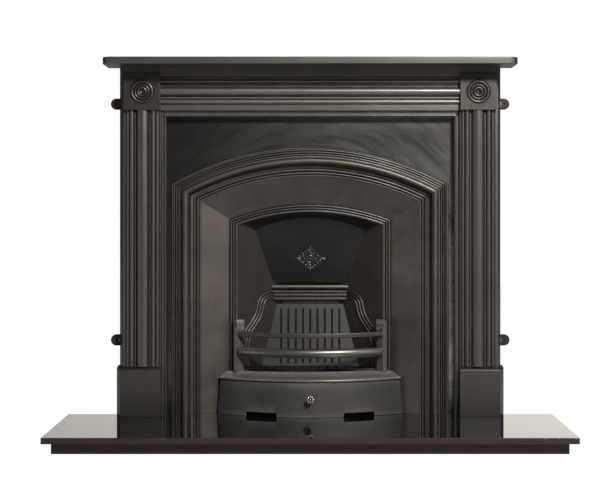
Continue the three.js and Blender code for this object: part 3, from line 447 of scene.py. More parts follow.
def block_mesh():
    bm = bmesh.new()
    sunk = BLOCK_FACE + 6.5
    profile = [
        (37.6, BLOCK_FACE), (37.6, sunk), *bead(31.6, 5.8, sunk - 0.5, 6.6, 14)[::-1], (25.2, sunk - 0.6),
        *bead(21.4, 3, sunk - 0.6, 3.4, 8)[::-1], (17.9, sunk - 0.4),
        *bead(12.2, 4.6, sunk - 1, 6.2, 12)[::-1], (6.4, sunk - 2), (4.4, sunk - 0.6), (2.2, sunk + 0.3),
        (0, sunk + 0.6),
    ]
    turned(bm, profile, BLOCK_X, BLOCK_Z, 72)
    bmesh.ops.remove_doubles(bm, verts=bm.verts, dist=0.001 * MM)
    rim = [edge for edge in bm.edges if edge.is_boundary]
    front = [bm.verts.new(Vector((BLOCK_X + BLOCK_HALF * x, BLOCK_FACE, BLOCK_Z + BLOCK_HALF * z)) * MM)
             for x, z in ((-1, -1), (1, -1), (1, 1), (-1, 1))]
    square = looped(bm, front)
    bmesh.ops.triangle_fill(bm, use_beauty=True, edges=rim + square)
    made = bmesh.ops.extrude_edge_only(bm, edges=square)["geom"]
    back = only(BMVert, made)
    bmesh.ops.translate(bm, verts=back, vec=(0, (JAMB_CORE - 0.35 - BLOCK_FACE) * MM, 0))
    rear = [edge for edge in only(BMEdge, made) if set(edge.verts) <= set(back)]
    bmesh.ops.contextual_create(bm, geom=rear)
    softened(bm, [edge for edge in bm.edges if set(edge.verts) <= set(front) | set(back)], 0.9, 3)
    return bm


paired(block_mesh, "bullseye_block", [block_iron], "blacked_iron", "corner_block")

# ---------------------------------------------------------------- frieze
# The reeded iron rail between the blocks, hollow behind, bolted to both jambs. Its lowest
# moulding is the slip over the insert, mitred to the jambs' slips.

frieze_iron = black_lead("frieze_iron", (0.078, 0.074, 0.068), (0.165, 0.156, 0.143), 0.40, (1.6, 12, 12),
                         arris_wear_and_highlight=0.3)
FRIEZE_END = JAMB_JOINT - 0.45


def upright_bead(centre, half, base, height, steps=10):
    """A bead that is met on the way up, as pairs of depth and height."""
    return [(y, z) for z, y in bead(centre, half, base, height, steps)]


frieze_profile = [
    (-36, SLIP_TOP), *upright_bead(988, 3.5, -37, 5), (-36, 993), (-36, 999), (-44, 1002), (-48, 1003),
    (-48, 1018), (-44, 1019.5), *upright_bead(1029.5, 8, -44, 8, 14),
    (-43, 1038.5), (-48, 1039.5), (-48, 1044.5), (-43, 1045.5), *upright_bead(1061, 14, -44, 16, 20),
    (-42, 1076.5), (-42, 1082), (-48, 1086), *upright_bead(1092, 4, -52, 10, 10),
    (-50, 1099), (-50, 1104), (-58, 1112), (-58, MANTEL_TOP),
    (0, MANTEL_TOP), (0, 1129.65), (-48, 1129.65), (-43, 1100), (-35, 1088), (-36, 1050), (-38, 1012),
    (-29, 990), (-29, 994), (-12, 994), (-12, SLIP_TOP),
]


def frieze_end(sign):
    return lambda p: (sign * min(FRIEZE_END, SLIP_EDGE + p[1] - SLIP_TOP), p[0], p[1])


bm = bmesh.new()
carried(bm, eased(frieze_profile, 0.5), [frieze_end(-1), frieze_end(1)])
finished(bm, "reeded_frieze", [frieze_iron], "surround", "blacked_iron", "frieze")

# ---------------------------------------------------------------- mantel shelf
# A flat iron casting with rounded front corners and softened arrises, bolted down from
# inside the jambs.

shelf_iron = black_lead("shelf_iron", (0.058, 0.056, 0.052), (0.122, 0.116, 0.107), 0.42, (3, 16, 16),
                        arris_wear_and_highlight=0.8)
SHELF_CORNER = 28.0
shelf_low, shelf_high = (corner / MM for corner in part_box("mantel_shelf"))
quarter = [math.pi / 2 * step / 12 for step in range(13)]
shelf_plan = [(shelf_low.x, shelf_high.y)]
shelf_plan += [(shelf_low.x + SHELF_CORNER * (1 - math.cos(turn)),
                shelf_low.y + SHELF_CORNER * (1 - math.sin(turn))) for turn in quarter]
shelf_plan += [(-x, y) for x, y in reversed(shelf_plan)]
bm = bmesh.new()
carried(bm, shelf_plan, upright(shelf_low.z, shelf_high.z))
ends = [edge for edge in bm.edges if abs(edge.verts[0].co.z - edge.verts[1].co.z) < 1e-6
        and len({round(face.normal.z) for face in edge.link_faces}) == 2]
softened(bm, ends, 2.5, 4)
finished(bm, "softened_mantel_shelf", [shelf_iron], "surround", "blacked_iron", "mantel_shelf")

# ---------------------------------------------------------------- insert surround
# The arched insert: a flat iron plate, the arch moulding cast on it, and the splay that
# runs in to the fire opening. All of its lines are concentric.

ARCH_CENTRE = 15.0
ARCH_RADIUS = 870.0
ARCH_LEG = 430.0
ARCH_STEPS = 72
SPLAY_START = 88.0
PLATE_HALF = 482.5
PLATE_TOP = 1015.0


def parted(tree, kind="Object"):
    """The X, Y and Z of a texture coordinate."""
    return added(tree, "SeparateXYZ", Vector=added(tree, "TexCoord")[kind])


def overlaid(material, layer):
    """Puts one more layer over a material's colour."""
    tree = material.node_tree
    slot = tree.nodes["Principled BSDF"].inputs["Base Color"]
    tree.links.new(layer(tree, parted(tree), slot.links[0].from_socket), slot)


def brushed_lit_from_right(tree, spot, colour):
    """Long strokes of the polishing brush that follow the arch, with painted light that makes them brighter
    toward the right.
    """
    height = summed(tree, spot["Z"], -0.5)
    square = summed(tree, summed(tree, spot["X"], 2.0, "POWER"), summed(tree, height, 2.0, "POWER"))
    turn = summed(tree, spot["X"], height, "ARCTAN2")
    away = summed(tree, summed(tree, square, 0.5, "POWER"), 13.0, "MULTIPLY")
    strokes = cloud(tree, added(tree, "CombineXYZ", X=turn, Y=away)["Vector"], 2.2, 5, 0.58, 0.5)
    # Painted light: the strokes brighten from left to right.
    painted_light_to_right = banded(tree, spot["X"], -0.40, 0.40, 0.02, 1.0)
    strokes_with_painted_light = summed(tree, banded(tree, strokes, 0.30, 0.72, 0.34, 0.92), painted_light_to_right, "MULTIPLY")
    colour = mixed(tree, strokes_with_painted_light, colour, (0.42, 0.415, 0.393))
    return mixed(tree, banded(tree, strokes, 0.28, 0.48, 0.3, 0), colour, (0.014, 0.0145, 0.014))


plate_iron = black_lead("plate_iron", (0.013, 0.0135, 0.013), (0.064, 0.064, 0.061), 0.33, (2.2, 10, 11),
                        turn=(0.0, 0.5, 0.0), warm=0.10, metal=0.95)
overlaid(plate_iron, brushed_lit_from_right)


def on_arch(inset, share):
    """A point of the moulding line set in by inset, at a share of the arc from -1 to 1."""
    radius = ARCH_RADIUS - inset
    angle = math.asin((ARCH_LEG - inset) / radius) * share
    return radius * math.sin(angle), ARCH_CENTRE + radius * math.cos(angle)


def arch_stations():
    """Up the left leg, round the arch and down the right leg, for pairs of inset and depth."""
    def on_leg(sign):
        return lambda p: (sign * (ARCH_LEG - p[0]), p[1], FOOT)

    def on_arc(share):
        def place(p):
            x, z = on_arch(p[0], share)
            return x, p[1], z
        return place

    arc = [on_arc(-1 + 2 * step / ARCH_STEPS) for step in range(ARCH_STEPS + 1)]
    return [on_leg(-1), *arc, on_leg(1)]


moulding_iron = black_lead("moulding_iron", (0.066, 0.062, 0.056), (0.150, 0.140, 0.127), 0.45, (6, 14, 6),
                           warm=0.3, arris_wear_and_highlight=0.08)
# Painted light: the splay is cast with the moulding but coloured lighter.
lit_splay_iron = black_lead("lit_splay_iron", (0.083, 0.076, 0.069), (0.184, 0.168, 0.151), 0.44, (5, 9, 5),
                        warm=0.45, arris_wear_and_highlight=0)
surround_profile = [
    (-6, -8), (0.2, -8), (0.6, -5), *bead(3.8, 2.7, -8, 4, 8), (7.3, -4.5), *bead(11.0, 2.8, -10.5, 4, 8),
    (14.8, -7), *bead(18.5, 2.8, -13, 4, 8), (22.2, -10), (23.2, -15), (26.6, -15.5),
    *bead(39, 11.6, -18, 16, 20), (51.6, -11), (55.5, -5.5), (62.6, -4), *bead(66.8, 3.2, -6, 3.4, 8),
    (71, -1.5), *bead(76.2, 3.2, -4.5, 3.4, 8), (80.6, 0), (82, -2.5), (86, -2.5), (SPLAY_START, 0),
    (175, 44), (175, 51.5), (SPLAY_START, 8), (56, 0), (48, -12), (43, -24), (33, -24), (28, -14), (20, 0),
    (-6, 0),
]

bm = bmesh.new()
carried(bm, eased(surround_profile, 0.5), arch_stations())
inset = bm.verts.layers.float["across"]
# The splay's faces take the lighter painted-light iron.
for face in bm.faces:
    face.material_index = 1 if min(vert[inset] for vert in face.verts) > SPLAY_START - 1 else 0
finished(bm, "arch_moulding", [moulding_iron, lit_splay_iron], "surround", "insert_iron", "insert_surround",
         crease=26)

bm = bmesh.new()
line = [on_arch(-4, -1 + 2 * step / ARCH_STEPS) for step in range(ARCH_STEPS + 1)]
plate = [
    (-PLATE_HALF, FOOT), (-PLATE_HALF, PLATE_TOP), (PLATE_HALF, PLATE_TOP), (PLATE_HALF, FOOT),
    (ARCH_LEG + 4, FOOT), *reversed(line), (-ARCH_LEG - 4, FOOT),
]
carried(bm, plate, [lambda p: (p[0], 0, p[1]), lambda p: (p[0], -8, p[1])])
finished(bm, "field_plate", [plate_iron], "surround", "insert_iron")

# ---------------------------------------------------------------- inner arch frame
# A beaded iron frame round the fire opening. Its flange lies behind the splay, and the
# parts of the fire chamber are screwed to it.

frame_iron = black_lead("frame_iron", (0.052, 0.049, 0.045), (0.112, 0.105, 0.096), 0.46, (16, 16, 3),
                        arris_wear_and_highlight=0.3)
frame_profile = [
    (160, 52.3), (175.8, 52.3), (175.8, 41), *bead(179.4, 3.2, 38, 3, 8), (183.4, 42),
    *bead(187.2, 3, 39, 3.5, 8), (191.2, 43), *bead(196.4, 4.4, 40, 3, 10), (201, 41), (201, 58), (160, 58),
]
bm = bmesh.new()
carried(bm, eased(frame_profile, 0.35), arch_stations())
finished(bm, "beaded_frame", [frame_iron], "surround", "insert_iron", "inner_arch_frame", crease=26)

# ---------------------------------------------------------------- throat plate
# The iron soffit that leans back from the frame's arch to the top edge of the damper flap,
# with an upright flange in front that is screwed to the frame.

soot_iron = black_lead("soot_iron", (0.022, 0.021, 0.020), (0.060, 0.056, 0.052), 0.5, (14, 14, 3),
                       warm=0.3, arris_wear_and_highlight=0.25)
CHAMBER = 267.0                         # the cheeks' faces lie where |x| + y is this
FRAME_INNER = 201.0
FRAME_BACK = 58.35                      # the inner frame's back, with the gap to what is screwed to it
FLAP_SLOPE = 0.3275
FLAP_CORNER = 628.0
FLAP_APEX = 667.0


def flap_y(z):
    """How far back the flap's face lies at a height."""
    return 148.9 - FLAP_SLOPE * (z - 455)


def flap_top(share, grow=0.0):
    """A point of the flap's arched top edge."""
    half = CHAMBER - flap_y(FLAP_CORNER)
    rise = FLAP_APEX - FLAP_CORNER
    radius = (half * half + rise * rise) / (2 * rise) + grow
    angle = math.asin((half + grow) / radius) * share
    return radius * math.sin(angle), FLAP_APEX + grow - radius * (1 - math.cos(angle))


def soffit_station(share):
    front_x, front_z = on_arch(FRAME_INNER + 0.5, share)
    back_x, back_z = flap_top(share * 1.03)
    back_y = flap_y(back_z + 6) - 1.5

    def place(p):
        along, up = p
        return (front_x + along * (back_x - front_x), FRAME_BACK + along * (back_y - FRAME_BACK),
                front_z + along * (back_z - front_z) + up)
    return place


bm = bmesh.new()
carried(bm, [(0, 0), (1, 0), (1, 6), (0.2, 6), (0.2, 24), (0, 24)],
        [soffit_station(-1 + 2 * step / 48) for step in range(49)])
finished(bm, "throat_soffit", [soot_iron], "surround", "firebox_iron", "throat_plate")

# ---------------------------------------------------------------- fire cheeks
# Iron plates at 45 degrees on each side of the fire. Three concentric reeds come down from
# the fireback's rail and run along the front, and two pads behind take the bolts.

cheek_iron = black_lead("cheek_iron", (0.048, 0.045, 0.041), (0.110, 0.101, 0.091), 0.48, (14, 14, 3),
                        warm=0.4, arris_wear_and_highlight=0.12)
CHEEK_FRONT = FRAME_BACK - 20
CHEEK_REAR = 176.0
CHEEK_STEP = 453.1                      # where the cheek's rear edge steps back under the flap
CHEEK_CURVE = [
    (150, 407), (135, 407), (125, 401), (120, 393), (117, 381), (113, 362), (109, 350), (103, 338), (93, 322),
    (84, 309), (80, 302), (75, 281), (71, 263), (69, 238), (68, 184),
]


def curve_through(points, steps):
    """Points along a smooth curve through the given ones (a centripetal Catmull-Rom spline)."""
    ends = [2 * Vector(points[0]) - Vector(points[1]), 2 * Vector(points[-1]) - Vector(points[-2])]
    knots = [ends[0], *map(Vector, points), ends[1]]
    line = []
    for index in range(1, len(knots) - 2):
        p0, p1, p2, p3 = knots[index - 1:index + 3]
        t0, t1, t2 = ((b - a).length ** 0.5 for a, b in ((p0, p1), (p1, p2), (p2, p3)))
        m1 = t1 * ((p1 - p0) / t0 - (p2 - p0) / (t0 + t1) + (p2 - p1) / t1)
        m2 = t1 * ((p2 - p1) / t1 - (p3 - p1) / (t1 + t2) + (p3 - p2) / t2)
        for step in range(steps):
            t = step / steps
            line.append((2 * t ** 3 - 3 * t ** 2 + 1) * p1 + (t ** 3 - 2 * t ** 2 + t) * m1
                        + (3 * t ** 2 - 2 * t ** 3) * p2 + (t ** 3 - t ** 2) * m2)
    line.append(knots[-2])
    return line


def circle(radius, count, across=0.0, deep=0.0):
    """The points of a circle round a middle, as pairs."""
    turns = [2 * math.pi * step / count for step in range(count)]
    return [(across + radius * math.cos(turn), deep + radius * math.sin(turn)) for turn in turns]


def cheek_mesh():
    bm = bmesh.new()
    arc = [CHEEK_FRONT + 20 * step / 4 for step in range(5)]
    top = [(y, ARCH_CENTRE + math.sqrt(668.65 ** 2 - (CHAMBER - y) ** 2)) for y in arc]
    soffit = [soffit_station(share)((along, -0.9)) for share, along in
              ((0.915, 0.02), (0.94, 0.35), (0.965, 0.7), (0.985, 0.99))]
    top += [(CHAMBER - abs(x), z) for x, y, z in soffit]
    back = [(flap_y(z) - 1.5, z) for z in (620, CHEEK_STEP)]
    outline = [(CHEEK_FRONT, FOOT), *top, *back, (CHEEK_REAR, CHEEK_STEP), (CHEEK_REAR, FOOT)]
    carried(bm, outline, [lambda p, o=o: (CHAMBER - p[0] + o, p[0] + o, p[1]) for o in (0, 5.66)])
    spine = curve_through(CHEEK_CURVE, 6)
    for offset in (0, 9.3, 18.6):
        stations = []
        for index, here in enumerate(spine):
            ahead = (spine[min(index + 1, len(spine) - 1)] - spine[max(index - 1, 0)]).normalized()
            side = Vector((-ahead.y, ahead.x))
            middle = here + side * -offset

            def place(p, middle=middle, side=side):
                y, z = middle + side * (3.3 * p[0])
                lift = 3.6 * p[1] / math.sqrt(2)
                return CHAMBER - y - lift, y - lift, z
            stations.append(place)
        carried(bm, circle(1, 14), stations)
    for z in (260, 540):
        slab(bm, Vector((213, FRAME_BACK, z - 15)) * MM, Vector((252, 66, z + 15)) * MM, 1.0)
    slab(bm, Vector((127.4, 144, 436)) * MM, Vector((143, 170, 471)) * MM, 1.0)
    return bm


paired(cheek_mesh, "reeded_cheek", [cheek_iron], "firebox_iron", "fire_cheek")

# ---------------------------------------------------------------- fireback
# A leaning iron plate, wider at its foot, with nine round-bottomed flutes sunk in its face.
# Its iron is darker than the cheeks' iron, but it faces the lamps and so looks lighter.

fireback_iron = black_lead("fireback_iron", (0.015, 0.0155, 0.016), (0.031, 0.031, 0.030), 0.5, (10, 10, 3),
                           warm=0.2, arris_wear_and_highlight=0.5)
BACK_FOOT, BACK_TOP = 170.0, 388.0
FLUTES = 9
FLUTE_PITCH = 23.6
FLUTE_HALF = 3.3
FLUTE_FOOT, FLUTE_TOP = 201.3, 367.7


def fireback_y(z):
    """How far back the fireback's face lies at a height."""
    return 160 - 0.2525 * (BACK_TOP - z)


def on_fireback(x, z, deep=0.0):
    """A place on the fireback, or so far behind its face."""
    return Vector((x, fireback_y(z) + deep, z)) * MM


bm = bmesh.new()
rim = []
for sign, z in ((-1, BACK_FOOT), (1, BACK_FOOT), (1, BACK_TOP), (-1, BACK_TOP)):
    rim.append(bm.verts.new(on_fireback(sign * (CHAMBER - fireback_y(z) - 0.5), z)))
square = looped(bm, rim)
mouths = []
turns = [math.pi * step / 8 for step in range(9)]
for flute in range(FLUTES):
    x = (flute - FLUTES // 2) * FLUTE_PITCH
    outline = [(sign * FLUTE_HALF * math.cos(turn), middle, sign * FLUTE_HALF * math.sin(turn))
               for sign, middle in ((1, FLUTE_TOP), (-1, FLUTE_FOOT)) for turn in turns]
    verts = [bm.verts.new(on_fireback(x + dx, middle + dz)) for dx, middle, dz in outline]
    ring = looped(bm, verts)
    mouths += ring
    places = dict(zip(verts, outline))
    for narrow, deep in ((0.9, 1.5), (0.7, 2.8), (0.38, 3.7), (0.0, 4.0)):
        made = bmesh.ops.extrude_edge_only(bm, edges=ring)["geom"]
        moved = only(BMVert, made)
        below = {}
        for vert in moved:
            above = next(edge.other_vert(vert) for edge in vert.link_edges if edge.other_vert(vert) in places)
            dx, middle, dz = places[above]
            vert.co = on_fireback(x + dx * narrow, middle + dz * narrow, deep)
            below[vert] = places[above]
        places = below
        ring = [edge for edge in only(BMEdge, made) if set(edge.verts) <= set(moved)]
bmesh.ops.triangle_fill(bm, use_beauty=True, edges=square + mouths)
made = bmesh.ops.extrude_edge_only(bm, edges=square)["geom"]
for vert in only(BMVert, made):
    vert.co += Vector((-12 if vert.co.x > 0 else 12, 12, 0)) * MM
bmesh.ops.contextual_create(bm, geom=[edge for edge in only(BMEdge, made) if edge.is_boundary])
finished(bm, "fluted_fireback", [fireback_iron], "surround", "firebox_iron", "fireback")

# ---------------------------------------------------------------- fireback rail
# The iron rail on top of the fireback: a flat fillet over three reeds that meet the cheeks'
# reeds, and behind it a web and a lip that close the gap under the flap's hinge.

rail_iron = black_lead("rail_iron", (0.026, 0.025, 0.023), (0.062, 0.059, 0.054), 0.44, (3, 14, 14),
                       warm=0.4, arris_wear_and_highlight=0.4)
bm = bmesh.new()
rail = [
    (148, 396.5), *upright_bead(402.5, 5.4, 146, 3.4, 8), *upright_bead(414.5, 5.4, 146, 3.4, 8),
    *upright_bead(426, 5, 146, 3.4, 8), (147, 431.5), (149, 433), (142, 434.5), (138.5, 437), (137, 441),
    (139.5, 447.5), (143, 449), (165.5, 449), (165.5, 457), (171.5, 457), (171.5, 443), (155, 443),
    (155, 420), (178, 400), (178, 388.35), (168, 388.35), (168, 396.5),
]
carried(bm, eased(rail, 0.4), [lambda p, s=s: (s * (CHAMBER - 5.73 - p[0]), p[0], p[1]) for s in (-1, 1)])
finished(bm, "reeded_fireback_rail", [rail_iron], "surround", "firebox_iron", "fireback_cap")

# ---------------------------------------------------------------- damper flap
# A thin iron plate that leans over the fire and closes the flue. Its top edge is arched,
# and a barrel along its foot turns on the hinge rod.

flap_iron = black_lead("flap_iron", (0.016, 0.016, 0.0155), (0.040, 0.040, 0.039), 0.40, (5, 5, 7),
                       warm=0.06, arris_wear_and_highlight=0.4)
HINGE_Y, HINGE_Z = 156.0, 461.0


def flap_half(z):
    """Half the flap's width at a height."""
    return CHAMBER - flap_y(z) + 8


bm = bmesh.new()
right_edge = [(125, 455), (125, 472), (flap_half(472), 472)]
flap_outline = [*right_edge, *(flap_top(1 - step / 24, 8) for step in range(49))]
flap_outline += [(-x, z) for x, z in reversed(right_edge)]
carried(bm, flap_outline, [lambda p, deep=deep: (p[0], flap_y(p[1]) + deep, p[1]) for deep in (0, 6)])
arris = [edge for edge in bm.edges if len(edge.link_faces) == 2 and edge.calc_face_angle() > 1.2]
softened(bm, arris, 0.7, 2)
carried(bm, circle(7.5, 24), [lambda p, x=x: (x, HINGE_Y + p[0], HINGE_Z + p[1]) for x in (-124, 124)])
finished(bm, "arched_damper_flap", [flap_iron], "damper", "firebox_iron", "damper_flap")

# ---------------------------------------------------------------- damper ornament
# A foliate diamond cast in low relief and pinned to the flap's face: an oval boss in two rings,
# a pointed bud at each end, and scrolls and small leaf buds along its four sides.

ornament_iron = black_lead("ornament_iron", (0.045, 0.046, 0.047), (0.110, 0.112, 0.113), 0.42, (30, 30, 30),
                           warm=0.05, arris_wear_and_highlight=0.6)
FLAP_LEAN = math.atan(FLAP_SLOPE)
ORNAMENT_Z = 534.0
LEAF_THICK = 2.8


def leaf(bm, across, up, length, width, turn):
    """A leaf bud: round at its foot and pointed at its tip, lying along a direction of the face."""
    made = bmesh.ops.create_uvsphere(bm, u_segments=12, v_segments=8, radius=1.0)["verts"]
    for vert in made:
        along = (vert.co.x + 1) / 2
        narrow = max(0.04, 1 - along ** 1.7) ** 0.8
        tall = LEAF_THICK * (0.4 + 0.6 * narrow)
        vert.co = Vector((vert.co.x * length / 2, vert.co.y * width * 0.6 * narrow, vert.co.z * tall)) * MM
    bmesh.ops.rotate(bm, verts=made, cent=(0, 0, 0), matrix=Matrix.Rotation(turn, 3, "Z"))
    bmesh.ops.translate(bm, verts=made, vec=Vector((across, up, 0.6)) * MM)


def curl(bm, centre, radii, start, sweep, tubes, steps=14):
    """A round tube along an arc of the face, from one radius and tube to another."""
    stations = []
    for step in range(steps + 1):
        t = step / steps
        angle = start + sweep * t
        tube = tubes[0] + (tubes[1] - tubes[0]) * t
        wide, tall = (radius * (1 + (radii[2] - 1) * t) for radius in radii[:2])

        def place(p, angle=angle, tube=tube, wide=wide, tall=tall):
            return (centre[0] + (wide + tube * p[0]) * math.cos(angle),
                    centre[1] + (tall + tube * p[0]) * math.sin(angle), 0.8 + tube * 1.15 * p[1])
        stations.append(place)
    carried(bm, circle(1, 8), stations)


bm = bmesh.new()
boss = bmesh.ops.create_uvsphere(bm, u_segments=20, v_segments=12, radius=1.0)["verts"]
bmesh.ops.scale(bm, vec=Vector((3.7, 4.4, 5.2)) * MM, verts=boss)
for wide, tall, tube in ((9.2, 11.6, 2.0), (14.2, 18.4, 0.9)):
    curl(bm, (0, 0), (wide, tall, 1), 0, 2 * math.pi, (tube, tube), 40)
# Across, up, length, width and turn in degrees of the buds on the right half.
for across, up, length, width, turn in (
    (0, 39, 19, 8, 90), (0, -39, 19, 8, -90), (42, 0, 22, 9, 0), (0, 24, 12, 8, 90), (0, -24, 12, 8, -90),
    (6.5, 31, 11, 5, 35), (8, -30, 13, 6, -20), (34, 7.5, 12, 5.5, 55), (34, -7.5, 12, 5.5, -55),
    (15, 25.5, 10, 5, 60), (23, 18.5, 11, 5, 45), (17, -24, 11, 5, -50), (26, -15.5, 11, 5, -45),
    (20, 0, 9, 5, 0),
):
    for mirror in ((1, -1) if across else (1,)):
        angle = math.radians(turn if mirror == 1 else 180 - turn)
        leaf(bm, across * mirror, up, length, width, angle)
for mirror in (1, -1):
    for up in (1, -1):
        start = math.radians(-60 if mirror == 1 else 240) * up
        curl(bm, (23 * mirror, 7.2 * up), (5.6, 5.6, 0.45), start, 5.2 * mirror * up, (1.5, 0.8))
        curl(bm, (11.5 * mirror, 21 * up), (3.8, 3.8, 0.5), -start, -4.4 * mirror * up, (1.2, 0.7))
seat = Vector((0, flap_y(ORNAMENT_Z) + 0.2, ORNAMENT_Z)) * MM
up_face = Vector((0, -math.sin(FLAP_LEAN), math.cos(FLAP_LEAN)))
out_face = Vector((0, -math.cos(FLAP_LEAN), -math.sin(FLAP_LEAN)))
onto_flap = Matrix.Translation(seat) @ Matrix((Vector((1, 0, 0)), up_face, out_face)).transposed().to_4x4()
whole = bm.verts[:] + bm.edges[:] + bm.faces[:]
bmesh.ops.bisect_plane(bm, geom=whole, plane_co=(0, 0, 0), plane_no=(0, 0, 1), clear_inner=True)
bmesh.ops.transform(bm, matrix=onto_flap, verts=bm.verts)
finished(bm, "foliate_ornament", [ornament_iron], "damper", "firebox_iron", "damper_ornament", crease=50)

# ---------------------------------------------------------------- front ledge
# The bowed iron shelf in front of the grate, with a moulded nose. It is bolted to the frame
# at both ends, and has a socket near each end for the bars' pins.

LEDGE_HALF = 285.0
BOW_CENTRE = 371.0


def bow_station(angle):
    """A ledge section's place at an angle, kept between the two ends and before the frame."""
    def place(p):
        radius, z = p
        limit = 36.8 if abs(angle) < 0.594 else 33.0
        radius = max(radius, (BOW_CENTRE - limit) / math.cos(angle))
        half = LEDGE_HALF - 1.5 * max(0, z - 165)
        if radius * abs(math.sin(angle)) > half:
            radius = half / abs(math.sin(angle))
        return radius * math.sin(angle), BOW_CENTRE - radius * math.cos(angle), z
    return place


# Painted light: lighter than the other iron for the light on its top, with full arris brightening as a
# painted highlight on its nose.
lit_ledge_iron = black_lead("lit_ledge_iron", (0.108, 0.103, 0.094), (0.250, 0.236, 0.216), 0.36, (4, 14, 14),
                        arris_wear_and_highlight=1.0, metal=0.6)
ledge_section = [
    (459.5, 160), (461, 162), (461, 165.5), (459, 168), (455, 168.8), (453, 167.4), (449, 170.2),
    (445, 170.6), (425, 182), (300, 182), (300, 172), (443, 170), (443, 160),
]
angles = [0.6665 * step / 30 for step in range(31)] + [0.672, 0.679, 0.686, 0.694, 0.7]
angles = [-angle for angle in reversed(angles[1:])] + angles
bm = bmesh.new()
carried(bm, eased(ledge_section, 0.6), [bow_station(angle) for angle in angles])
for mirror in (1, -1):
    boss = [(259.5, 8), (284, 12), (284, 28.4), (259.5, 40.8)]
    carried(bm, [(x * mirror, y) for x, y in boss], upright(160, 165))
finished(bm, "moulded_ledge", [lit_ledge_iron], "surround", "insert_iron", "front_ledge")

# ---------------------------------------------------------------- front bars
# One iron casting that lifts out: a flat bar and a round one, bowed alike, between two short
# posts with moulded caps. A pin under each post drops into the ledge.

# One casting in lit and shaded copies of its iron: the round bar and the caps are coloured lighter as painted
# highlight, the posts and the flat bar darker as painted shade.
lit_bar_iron = black_lead("lit_bar_iron", (0.094, 0.090, 0.083), (0.230, 0.217, 0.199), 0.37, (4, 12, 12), arris_wear_and_highlight=0.3)
shaded_post_iron = black_lead("shaded_post_iron", (0.034, 0.032, 0.029), (0.062, 0.058, 0.053), 0.6, (12, 12, 4),
                       metal=0.25)
lit_cap_iron = black_lead("lit_cap_iron", (0.150, 0.142, 0.131), (0.340, 0.322, 0.296), 0.40, (12, 12, 12),
                      warm=0.2, arris_wear_and_highlight=0.6)
shaded_flat_iron = black_lead("shaded_flat_iron", (0.060, 0.057, 0.052), (0.130, 0.122, 0.110), 0.50, (4, 12, 12), arris_wear_and_highlight=0.3)
BAR_RADIUS = 405.0
BAR_CENTRE = 352.0
BAR_END = math.asin(232 / BAR_RADIUS)
POST_OUT, POST_FOLD, POST_IN = 240.3, 229.4, 210.0


def bar_station(angle):
    """A bar's section at an angle, kept to the front of the posts at its two ends."""
    def place(p):
        x, y = p[0] * math.sin(angle), BAR_CENTRE - p[0] * math.cos(angle)
        return max(-POST_FOLD, min(POST_FOLD, x)), min(y, 31.5), p[1]
    return place


bm = bmesh.new()
for mirror in (1, -1):
    post = [(POST_OUT, 13), (POST_OUT, 32), (POST_IN, 32), (POST_IN, 28.5), (POST_FOLD, 12)]
    carried(bm, [(x * mirror, y) for x, y in eased(post, 0.8)], upright(182.35, 343))
    carried(bm, circle(4, 14, 225.5 * mirror, 22), upright(174, 182.5))
for face in bm.faces:
    face.material_index = 1
neck = [(12, 313), (10.8, 320), (8.2, 327), (4.5, 332.5), (9.5, 333.2), (9.5, 336.6), (32, 336.6), (32, 313)]
band = [(9.5, 336.4), (4.2, 336.9), (2.2, 339.2), (2.2, 341.8), (4.4, 345), (7, 346), (32, 346), (32, 336.4)]
for mirror in (1, -1):
    for profile in (neck, band):
        splayed = [lambda p, x=x * mirror, back=back: (x, min(p[0] + back, 32), p[1])
                   for x, back in ((POST_FOLD + 3, -0.5), (POST_IN - 0.8, 16.5))]
        carried(bm, profile, splayed)
for face in bm.faces:
    face.material_index = face.material_index or 2
sweep = [bar_station(BAR_END * (step / 32 - 1)) for step in range(65)]
flat = [(400, 294), (409, 294), (410.5, 296), (410.5, 306), (409, 308), (400, 308)]
carried(bm, eased(flat, 0.8), sweep)
for face in bm.faces:
    face.material_index = face.material_index or 3
carried(bm, circle(15, 28, 403, 245), sweep)
bar_irons = [lit_bar_iron, shaded_post_iron, lit_cap_iron, shaded_flat_iron]
finished(bm, "bowed_front_bars", bar_irons, "fire_bars", "insert_iron", "front_bars", crease=40)

# ---------------------------------------------------------------- ashpan cover
# A bowed iron plate that stands on the hearth under the ledge. Two notches at its foot let
# the air in, a flange stiffens its top, and the knob is screwed through its middle.

COVER_RADIUS = 456.0
COVER_HALF = 283.0
COVER_TOP = 158.5


def shaded_toward_ends(tree, spot, colour):
    """Painted shade: darker toward the ends, leaving the middle brighter."""
    ends = banded(tree, summed(tree, spot["X"], 0.0, "ABSOLUTE"), 0.03, 0.22, 0, 0.55)
    return mixed(tree, ends, colour, (0.038, 0.037, 0.035))


cover_iron = black_lead("cover_iron", (0.078, 0.077, 0.073), (0.150, 0.145, 0.136), 0.40, (4, 10, 10),
                        warm=0.25, metal=0.5)
# Painted shade on the cover: its colour darkens toward the ends.
overlaid(cover_iron, shaded_toward_ends)


def cover_station(x, foot):
    """The cover's cross-section at a place along it. A row outside its foot and top moves on to them."""
    past = max(0.0, abs(x) - (COVER_HALF - 8))
    top = COVER_TOP - 8 + math.sqrt(max(0.0, 64 - past * past))

    def place(p):
        radius = COVER_RADIUS - p[0]
        z = min(max(p[1], foot), top)
        return x * (1 + 0.028 * (COVER_TOP - z) / 100), BOW_CENTRE - math.sqrt(radius ** 2 - x ** 2), z
    return place


